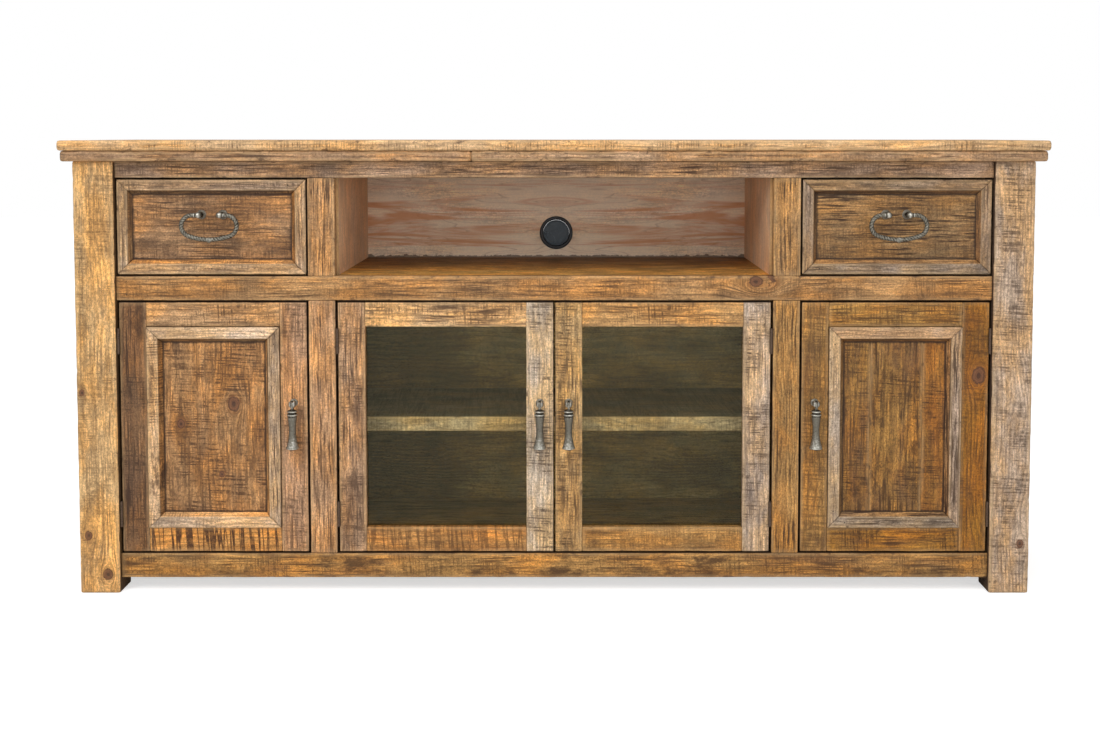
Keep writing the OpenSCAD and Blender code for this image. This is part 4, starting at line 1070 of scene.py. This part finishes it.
def curve_up(z0, z1, r0, r1, power, steps, high0, high1):
    """Rows of a profile that swells from one radius to another."""
    share = np.linspace(0, 1, steps)
    return [(z0 + (z1 - z0) * t, r0 + (r1 - r0) * t**power, high0 + (high1 - high0) * t) for t in share]


def bead(z, radius, half, steps=7):
    """Rows of a profile for a rounded ring, brightest where it stands out most."""
    angle = np.radians(np.linspace(-80, 80, steps))
    return [(z + half * math.sin(a), radius - half + half * math.cos(a), math.cos(a) ** 2) for a in angle]


def drop_profile():
    """From the tip up: a shallow cone, a flared foot, a slim waist and two rings under a flat neck."""
    foot = curve_up(-50.6, -86.2, 6.9, 12.5, 2.4, 14, 0.35, 0.75)[::-1]
    return [
        (-92.0, 0.6, 0.5), (-91.3, 4.0, 0.25), (-90.0, 8.2, 0.15), (-89.0, 10.8, 0.2), (-88.4, 12.0, 0.7),
        (-87.6, 12.7, 1.0), (-86.9, 12.7, 1.0), *foot, *curve_up(-49.0, -26.0, 6.9, 9.0, 1.6, 9, 0.35, 0.5),
        (-24.6, 8.9, 0.2), (-23.8, 8.0, 0.0), *bead(-21.0, 10.4, 2.3), (-18.4, 7.8, 0.0), (-17.2, 7.8, 0.0),
        *bead(-14.5, 9.9, 2.1), (-12.2, 6.4, 0.1), (-11.2, 5.6, 0.2), (-10.6, 4.2, 0.1),
    ]


def side_slab(shape, centre, half, outline, high):
    """A flat form standing across X, its faces a little rounded at the edges. The outline is Y and Z."""
    outline = np.array(outline, float)
    middle = outline.mean(0)
    reach = np.linalg.norm(outline - middle, axis=1, keepdims=True)
    rings = []
    rounded = [(half, 0.5), (half - 0.2, 0.15), (half - 0.6, 0)]
    for x, inset in [(-x, inset) for x, inset in rounded] + rounded[::-1]:
        ring = outline + (middle - outline) * inset / reach
        rings.append(np.column_stack([np.full(len(ring), x), ring]))
    shape.loft(np.array(centre) + np.array(rings) * MM, {"high": high}, 0.8 * MM)


def add_drop(node):
    """The cast drop: a lathe-turned body and the flat tongue that hangs in the ball's slot."""
    low, high, middle = box(node)
    pivot = (middle[0], middle[1], high[2] - DROP_TONGUE_R * MM)
    shape = Shape()
    shape.lathe(pivot, 2, drop_profile(), 48)
    over = np.radians(np.linspace(0, 180, 13))
    round_top = [(DROP_TONGUE_R * math.cos(a), DROP_TONGUE_R * math.sin(a)) for a in over]
    tongue = [(4.9, -11.6), (4.4, -6), *round_top, (-4.4, -6), (-4.9, -11.6)]
    side_slab(shape, pivot, DROP_TONGUE_HALF, tongue, 0.6)
    add_cast(node, shape.mesh(node + "_cast"))
    return pivot


def add_ball_post(node, pivot):
    """The slotted ball: two ears, the back that joins them, a stem and a turned foot."""
    shape = Shape()
    for side in (-1, 1):
        x = np.concatenate([[SLOT_HALF, SLOT_HALF + 0.15], np.linspace(SLOT_HALF + 0.5, BALL_R * 0.98, 8)])
        radius = np.sqrt(BALL_R**2 - x**2)
        radius[0] -= 0.35
        high = np.clip(1.1 - np.abs(x - 4) / 4, 0.2, 1)
        shape.lathe(pivot, 0, np.column_stack([side * x, radius, high])[::side], 32)
    y = np.linspace(SLOT_BACK - 0.4, BALL_R * 0.99, 5)
    shape.lathe(pivot, 1, np.column_stack([y, np.sqrt(BALL_R**2 - y**2), 0 * y]), 24)
    shape.lathe(pivot, 1, [
        (6.0, 3.6, 0), (8.0, 3.2, 0), (13.6, 3.2, 0), (14.8, 4.0, 0.1), (15.2, 5.6, 0.4), (15.6, 6.3, 0.7),
        (16.4, 6.6, 0.6), (16.9, 7.4, 0.8), (17.4, 7.8, 0.5), (DROP_REACH - 0.05, 7.9, 0.1),
    ], 32)
    end = [(1, 0.6, 0.5), (0.97, 1.0, 0.8), (0.9, 1.2, 0.6)]
    pin = [(-x, r, high) for x, r, high in end] + end[::-1]
    shape.lathe(pivot, 0, [(x * (BALL_R - 0.2), r, high) for x, r, high in pin], 16)
    add_cast(node, shape.mesh(node + "_cast"))


for door in DOOR_LOOKS:
    add_ball_post(door + "_pull_post", add_drop(door + "_pull_drop"))

# Bail pulls, in millimetres from the middle of the pivot line
BAIL_DROP = 52.5
BAIL_W = 118.0
ROD_R = 4.6
BAIL_CORNER_R = 21.0
BAIL_REACH = 25.0
POST_SPACING = 42.0
EGG_L = 7.4
EGG_R = 6.1
COLLAR_X = 28.4
# The lozenge at the rod's middle: its corners, and how large it is at each depth
LOZENGE = [(10.0, 0), (5.0, 3.0), (0, 4.8), (-5.0, 3.0), (-10.0, 0), (-5.0, -3.6), (0, -6.4), (5.0, -3.6)]
LOZENGE_DEPTHS = [(-5.2, 0.30), (-4.9, 0.55), (-4.2, 0.82), (-3.2, 1.0), (3.2, 1.0), (4.2, 0.82), (4.9, 0.5)]


def bail_path():
    """Points along the rod's middle line, from the left collar round the corners to the right one."""
    corner_x = BAIL_W / 2 - ROD_R - BAIL_CORNER_R
    drop = BAIL_DROP - ROD_R
    rise = drop - BAIL_CORNER_R
    sweep_r = (corner_x**2 + rise**2 - BAIL_CORNER_R**2) / (2 * (rise - BAIL_CORNER_R))
    half_angle = math.atan(corner_x / (sweep_r - rise))
    start = [(x, 0.0) for x in np.linspace(COLLAR_X + 0.5, corner_x - 1, 4)]
    turn = np.linspace(math.pi / 2, half_angle - math.pi / 2, 26)
    corner = [(corner_x + BAIL_CORNER_R * math.cos(a), BAIL_CORNER_R * (math.sin(a) - 1)) for a in turn]
    sweep = np.linspace(half_angle, 0, 12)[1:-1]
    low = [(sweep_r * math.sin(a), sweep_r * (1 - math.cos(a)) - drop) for a in sweep]
    right = start + corner + low
    return [(-x, z) for x, z in right] + [(0.0, -drop)] + right[::-1]


def run_tree(name, data, tree, values):
    """The plain mesh that a node tree makes from a mesh or a curve."""
    source = new_object(name + " source", data)
    modifier = source.modifiers.new("Nodes", "NODES")
    modifier.node_group = tree
    for socket in tree.interface.items_tree:
        if socket.in_out == "INPUT" and socket.name in values:
            modifier[socket.identifier] = values[socket.name]
    bpy.context.view_layer.update()
    graph = bpy.context.evaluated_depsgraph_get()
    mesh = bpy.data.meshes.new_from_object(source.evaluated_get(graph), depsgraph=graph)
    mesh.name = name
    source.modifiers.remove(modifier)
    bpy.data.objects.remove(source)
    return mesh


def rope_tree():
    """Sweeps a lobed section along a curve and twists it, as a cast bail that looks like a rope."""
    tree, given, result = geometry_tree("Rope rod", {
        "Radius": ("Float", 0.004), "Lobes": ("Float", 3.0), "Groove": ("Float", 0.1),
        "Turns": ("Float", 9.0), "Step": ("Float", 0.001), "Material": ("Material", None),
    })
    line = {"Curve": given["Geometry"], "Length": given["Step"]}
    line = output(add(tree, "GeometryNodeResampleCurve", line, mode="LENGTH"))
    share = output(add(tree, "GeometryNodeSplineParameter"), "Factor")
    twist = share * given["Turns"] * math.tau
    twisted = add(tree, "GeometryNodeSetCurveTilt", {"Curve": line, "Tilt": twist})
    ring = add(tree, "GeometryNodeCurvePrimitiveCircle", {"Resolution": 30, "Radius": given["Radius"]})
    ridge = calc("COSINE", share * math.tau * given["Lobes"]) * 0.5 + 0.5
    lobed = scaled(output(add(tree, "GeometryNodeInputPosition")), 1.0 - (1.0 - ridge) * given["Groove"])
    lobed = add(tree, "GeometryNodeSetPosition", {"Geometry": output(ring), "Position": lobed})
    marked = add(tree, "GeometryNodeStoreNamedAttribute", {
        "Geometry": output(lobed), "Name": "high", "Value": ridge * 0.42 + 0.16,
    }, data_type="FLOAT", domain="POINT")
    swept = add(tree, "GeometryNodeCurveToMesh", {
        "Curve": output(twisted), "Profile Curve": output(marked), "Fill Caps": True,
    })
    finish_geometry(output(swept), given["Material"], result)
    return tree


ROPE = rope_tree()


def joined(name, meshes):
    """One mesh out of several, with their point attributes."""
    whole = bmesh.new()
    for mesh in meshes:
        whole.from_mesh(mesh)
    made = bpy.data.meshes.new(name)
    whole.to_mesh(made)
    whole.free()
    return made


def add_bail(node):
    """The cast bail: a rope-like rod, a collar and a pin at each end, and a lozenge in the middle."""
    low, high, middle = box(node)
    centre = np.array((middle[0], middle[1], low[2] + BAIL_DROP * MM))
    path = bail_path()
    curve = bpy.data.curves.new(node, "CURVE")
    curve.dimensions = "3D"
    spline = curve.splines.new("POLY")
    spline.points.add(len(path) - 1)
    for point, (x, z) in zip(spline.points, path):
        point.co = (centre[0] + x * MM, centre[1], centre[2] + z * MM, 1)
    rod = run_tree(node + "_rod", curve, ROPE, {
        "Radius": ROD_R * MM, "Lobes": 3.0, "Groove": 0.09, "Turns": 12.0, "Step": 0.7 * MM,
        "Material": PEWTER,
    })
    trim = Shape()
    for side in (-1, 1):
        ends = [(COLLAR_X - 1.6, 1.6, 0.3), *bead(COLLAR_X, 4.8, 1.2), *bead(COLLAR_X + 2.6, 4.3, 0.9, 5)]
        trim.lathe(centre, 0, [(side * x, r, wear) for x, r, wear in ends][::side], 28)
        trim.lathe(centre, 0, [(side * 24.2, 1.5, 0), (side * 27.6, 1.5, 0)][::side], 12)
    bottom = centre + np.array((0, 0, ROD_R - BAIL_DROP)) * MM
    rings = [[(x * scale, y * 0.9, z * scale) for x, z in LOZENGE] for y, scale in LOZENGE_DEPTHS]
    trim.loft(bottom + np.array(rings) * MM, {"high": 0.62}, 0.5 * MM)
    mesh = joined(node + "_cast", [rod, trim.mesh(node + "_trim")])
    mesh.shade_smooth()
    add_cast(node, mesh)
    return centre


def add_bail_posts(node, centre):
    """Two egg-shaped heads on stems, each standing on a stepped rosette."""
    shape = Shape()
    for side in (-1, 1):
        post = centre + np.array((side * POST_SPACING / 2 * MM, 0, 0))
        x = np.linspace(-0.985, 0.88, 15)
        radius = EGG_R * np.sqrt(1 - x**2)
        high = np.clip(1.05 - np.abs(x), 0.2, 1)
        rows = np.column_stack([side * x * EGG_L, radius, high])
        shape.lathe(post, 0, rows[::side], 36)
        shape.lathe(post, 1, [
            (3.0, 3.2, 0), (8.0, 3.0, 0), (17.0, 3.3, 0), (19.4, 4.2, 0), (20.4, 5.4, 0.2), (21.4, 6.0, 0.6),
            (21.8, 6.2, 0.2), (22.2, 7.6, 0.5), (22.8, 8.2, 0.9), (23.4, 8.0, 0.2), (23.8, 9.0, 0.7),
            (24.4, 9.4, 0.9), (BAIL_REACH - 0.05, 9.4, 0.2),
        ], 36)
    add_cast(node, shape.mesh(node + "_cast"))


for drawer in ("drawer_left", "drawer_right"):
    add_bail_posts(drawer + "_pull_posts", add_bail(drawer + "_bail"))


# Nails in the joinery and screws in the back

def studs_tree():
    """Puts a head on each point, each turned, tipped and sized a little differently."""
    tree, given, result = geometry_tree("Scattered studs", {
        "Head": ("Object", None), "Tip": ("Float", 0.1), "Spread": ("Float", 0.15), "Seed": ("Int", 1),
        "Material": ("Material", None),
    })
    tip, uneven, seed = given["Tip"], given["Spread"], given["Seed"]
    head = add(tree, "GeometryNodeObjectInfo", {"Object": given["Head"]}, transform_space="ORIGINAL")
    points = add(tree, "GeometryNodeMeshToPoints", {"Mesh": given["Geometry"]})
    back, turned = tip * -1.0, {"Seed": seed}
    turned.update({0: vector(back, -math.pi, back), 1: vector(tip, math.pi, tip)})
    turn = add(tree, "FunctionNodeRandomValue", turned, data_type="FLOAT_VECTOR")
    sized = {2: 1.0 - uneven, 3: uneven + 1.0, "Seed": seed + 1.0}
    size = add(tree, "FunctionNodeRandomValue", sized, data_type="FLOAT")
    placed = add(tree, "GeometryNodeInstanceOnPoints", {
        "Points": output(points), "Instance": output(head, "Geometry"), "Rotation": output(turn),
        "Scale": output(size, 1),
    })
    finish_geometry(output(placed), given["Material"], result)
    return tree


STUDS = studs_tree()


def head_object(name, profile, sides):
    """One nail or screw head about the Y axis, its face towards -Y and its seat at the origin."""
    shape = Shape()
    shape.lathe((0, 0, 0), 1, profile, sides)
    return new_object(name, shape.mesh(name))


def add_studs(name, places, head, material, slot, body, seed):
    points = bpy.data.meshes.new(name + " points")
    points.from_pydata([tuple(p) for p in places], [], [])
    mesh = run_tree(name, points, STUDS, {
        "Head": head, "Tip": 0.06, "Spread": 0.18, "Seed": seed, "Material": material,
    })
    mesh.shade_smooth()
    add_piece(mesh, material, slot, body)


def strip_nails(node, reach, from_end, proud):
    """Two nails near each end of the four strips of a moulding, and one in the middle of a long strip."""
    low, high, middle = box(node)
    half = (high - low) / 2
    y = low[1] + proud
    found = []
    for side in (-1, 1):
        for share in (-1, 0, 1):
            along_x = share * (half[0] - from_end)
            along_z = share * (half[2] - from_end)
            found.append((middle[0] + along_x, y, middle[2] + side * (half[2] - reach)))
            if half[2] > 0.12 or share:
                found.append((middle[0] + side * (half[0] - reach), y, middle[2] + along_z))
    return found


def rail_nails(node, inset, spacing):
    """Pairs of nails through each end of a rail's front."""
    low, high, middle = box(node)
    ends = (low[0] + inset, high[0] - inset)
    return [(x, low[1], middle[2] + side * spacing) for x in ends for side in (-1, 1)]


def back_screws(spacing):
    """Rows of screws along the back's rails, its ends and the edges of its boards."""
    low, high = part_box("back_panels")
    rows = [high[2] - 14 * MM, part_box("deck_panel")[0][2] + 9 * MM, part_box("floor_panel")[0][2] + 9 * MM]
    across = np.linspace(low[0] + 25 * MM, high[0] - 25 * MM, round((high[0] - low[0]) / spacing))
    found = [(x, high[1], z) for z in rows for x in across]
    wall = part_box("partitions")[1][0] - 9 * MM
    for z in np.linspace(rows[2], rows[1], 5)[1:-1]:
        found += [(side * wall, high[1], z) for side in (-1, 1)]
    return found


NAIL_PROFILE = [(-0.16, 0.5, 0.9), (-0.12, 0.9, 0.8), (0.02, 1.15, 0.3), (0.5, 0.9, 0)]
SCREW_PROFILE = [
    (-0.5, 3.4, 0.3), (0.4, 3.3, 0.9), (1.0, 2.6, 1.0), (1.2, 1.9, 0.8), (0.9, 1.1, 0.4), (0.5, 0.7, 0),
]
nail_head = head_object("Nail head", NAIL_PROFILE, 10)
screw_head = head_object("Screw head", SCREW_PROFILE, 12)
NAILED = {
    "left_door_nails": "door_left_moulding", "right_door_nails": "door_right_moulding",
    "left_drawer_nails": "drawer_left_moulding", "right_drawer_nails": "drawer_right_moulding",
}
for seed, (name, node) in enumerate(NAILED.items(), 60):
    places = strip_nails(node, 11 * MM, 34 * MM, 0.45 * MM)
    add_studs(name, places, nail_head, NAIL_STEEL, "pin_steel", BODY_OF[node], seed)
rail_places = rail_nails("middle_rail", 20 * MM, 13 * MM) + rail_nails("bottom_rail", 22 * MM, 13 * MM)
add_studs("frame_nails", rail_places, nail_head, NAIL_STEEL, "pin_steel", "cabinet", 64)
add_studs("back_screws", back_screws(0.16), screw_head, BRONZE, "bronze", "cabinet", 65)
for head in (nail_head, screw_head):
    bpy.data.objects.remove(head)

# Cable port, in millimetres from the middle of the back's front face
GATE_MIDDLE = 28.0
GATE_R = 19.0
GATE_RIM = 25.2
GATE_TURN = math.radians(219)


def gate_outline(rim, lobe):
    """The almond where the cap's face and a lobe near its rim overlap, as X and Z."""
    cross = (rim**2 - lobe**2 + GATE_MIDDLE**2) / (2 * GATE_MIDDLE)
    rim_half = math.acos(cross / rim)
    lobe_half = math.acos((GATE_MIDDLE - cross) / lobe)
    outer = [(rim * math.cos(a), rim * math.sin(a)) for a in np.linspace(-rim_half, rim_half, 20)]
    inner_turn = np.linspace(math.pi - lobe_half, math.pi + lobe_half, 26)[1:-1]
    inner = [(GATE_MIDDLE + lobe * math.cos(a), lobe * math.sin(a)) for a in inner_turn]
    c, s = math.cos(GATE_TURN), math.sin(GATE_TURN)
    return np.array([(x * c - z * s, x * s + z * c) for x, z in outer + inner])


def add_port():
    """The flanged ring in the back, and the cap with a raised edge round its gate."""
    low, high, middle = box("cable_sleeve")
    centre = np.array((middle[0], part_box("back_panels")[0][1], middle[2]))
    tail = (high[1] - centre[1]) / MM
    ring = Shape()
    ring.lathe(centre, 1, [
        (0.0, 37.4, 0), (-1.2, 37.5, 0), (-2.2, 37.0, 0), (-2.8, 36.0, 0), (-3.0, 34.8, 0), (-3.0, 32.4, 0),
        (-2.7, 31.0, 0), (-2.0, 30.0, 0), (-1.0, 29.5, 0), (tail, 29.5, 0), (tail, 31.9, 0), (0.0, 31.9, 0),
    ], 96, ring=True)
    add_piece(ring.mesh("port_ring"), BLACK_RING, "black_plastic", BODY_OF["cable_sleeve"], "cable_sleeve")
    cap = Shape()
    cap.lathe(centre, 1, [
        (0.5, 26.6, 0), (0.5, 29.0, 0), (-1.8, 29.2, 0), (-2.8, 29.0, 0), (-3.3, 28.4, 0), (-3.5, 27.5, 0),
        (-3.4, 26.6, 0), (-3.0, 26.0, 0), (-2.9, 25.6, 0), (-3.1, 24.8, 0), (-3.3, 20.0, 0), (-3.4, 10.0, 0),
        (-3.42, 2.0, 0),
    ], 96)
    cap.lathe(centre, 1, [(0.4, 25.6, 0), (6.5, 25.6, 0), (6.5, 27.1, 0), (0.4, 27.1, 0)], 96, ring=True)
    outline = gate_outline(GATE_RIM, GATE_R)
    middle = outline.mean(0)
    outwards = outline - middle
    outwards /= np.linalg.norm(outwards, axis=1, keepdims=True)
    bead_turn = np.linspace(0, math.tau, 8, endpoint=False)
    edge = np.empty((len(outline), 8, 3))
    edge[..., 0] = outline[:, :1] + 0.8 * np.cos(bead_turn) * outwards[:, :1]
    edge[..., 2] = outline[:, 1:] + 0.8 * np.cos(bead_turn) * outwards[:, 1:]
    edge[..., 1] = -3.2 + 0.7 * np.sin(bead_turn)
    cap.gather(centre + edge * MM, {"high": np.full(edge.shape[:2], 0.8)}, False)
    add_piece(cap.mesh("port_cap"), BLACK_CAP, "black_plastic", BODY_OF["cable_cap"], "cable_cap")


add_port()


# Camera, light and floor

def aim(thing, place, target):
    x, y, z = np.array(target, float) - np.array(place, float)
    thing.location = place
    thing.rotation_euler = (math.atan2(math.hypot(x, y), -z), 0, math.atan2(-x, y))


EYE = (0.0303, -2.8588, 0.91)
CAMERA_TILT = math.radians(3.31)
camera = new_object("Camera", bpy.data.cameras.new("Camera"))
camera.data.lens = 44.36
camera.data.sensor_width = 36.0
camera.data.shift_x = -0.0178
camera.data.shift_y = -0.139
camera.location = EYE
camera.rotation_euler = (math.radians(90) - CAMERA_TILT, 0, 0)
bpy.context.scene.camera = camera
bpy.context.scene.view_settings.view_transform = "Standard"


def add_lamp(name, place, target, size, power):
    lamp = new_object(name, bpy.data.lights.new(name, "AREA"))
    lamp.data.shape = "RECTANGLE"
    lamp.data.size, lamp.data.size_y = size
    lamp.data.energy = power
    aim(lamp, place, target)


add_lamp("Left softbox", (-2.4, -3.0, 2.6), (-0.2, 0, 0.5), (1.6, 1.2), 42)
add_lamp("Right softbox", (2.8, -3.4, 2.0), (0.2, 0, 0.5), (1.8, 1.4), 17)
add_lamp("Front softbox", (0.2, -4.4, 1.0), (0, 0, 0.5), (2.6, 1.4), 28)
add_lamp("Top softbox", (0, -2.0, 3.1), (0, -0.1, 0.5), (2.6, 1.0), 31)
add_lamp("Overhead softbox", (0, 0.1, 3.3), (0, 0.1, 0.9), (2.6, 1.2), 24)


def seen_directly(tree):
    """1 for rays that show the backdrop in the picture and through glass."""
    path = add(tree, "ShaderNodeLightPath")
    return most(output(path, "Is Camera Ray"), output(path, "Is Transmission Ray"))


def light_world():
    world = bpy.data.worlds.new("Studio")
    bpy.context.scene.world = world
    world.use_nodes = True
    tree = world.node_tree
    strength = step(seen_directly(tree), 0.0, 1.0, 0.40, 1.0)
    feed(tree.nodes["Background"].inputs, {"Color": (1, 1, 1, 1), "Strength": strength})


light_world()

FLOOR_REACH = 12.0


def add_floor():
    """A wide pale floor, a little brighter far away, so that it runs into the backdrop."""
    mesh = bpy.data.meshes.new("Floor")
    corners = [(x * FLOOR_REACH, y * FLOOR_REACH, 0) for x, y in ((-1, -1), (1, -1), (1, 1), (-1, 1))]
    mesh.from_pydata(corners, [], [(0, 1, 2, 3)])
    floor = new_object("Floor", mesh)
    material, tree, surface = new_material("Pale floor")
    glow = step(vector_calc("LENGTH", object_place(tree)), 2.0, 6.0, 0.6, 0.8)
    feed(surface, {
        "Base Color": (0.86, 0.86, 0.86, 1), "Roughness": 0.9, "Emission Color": (1, 1, 1, 1),
        "Emission Strength": seen_directly(tree) * glow,
    })
    mesh.materials.append(material)


add_floor()
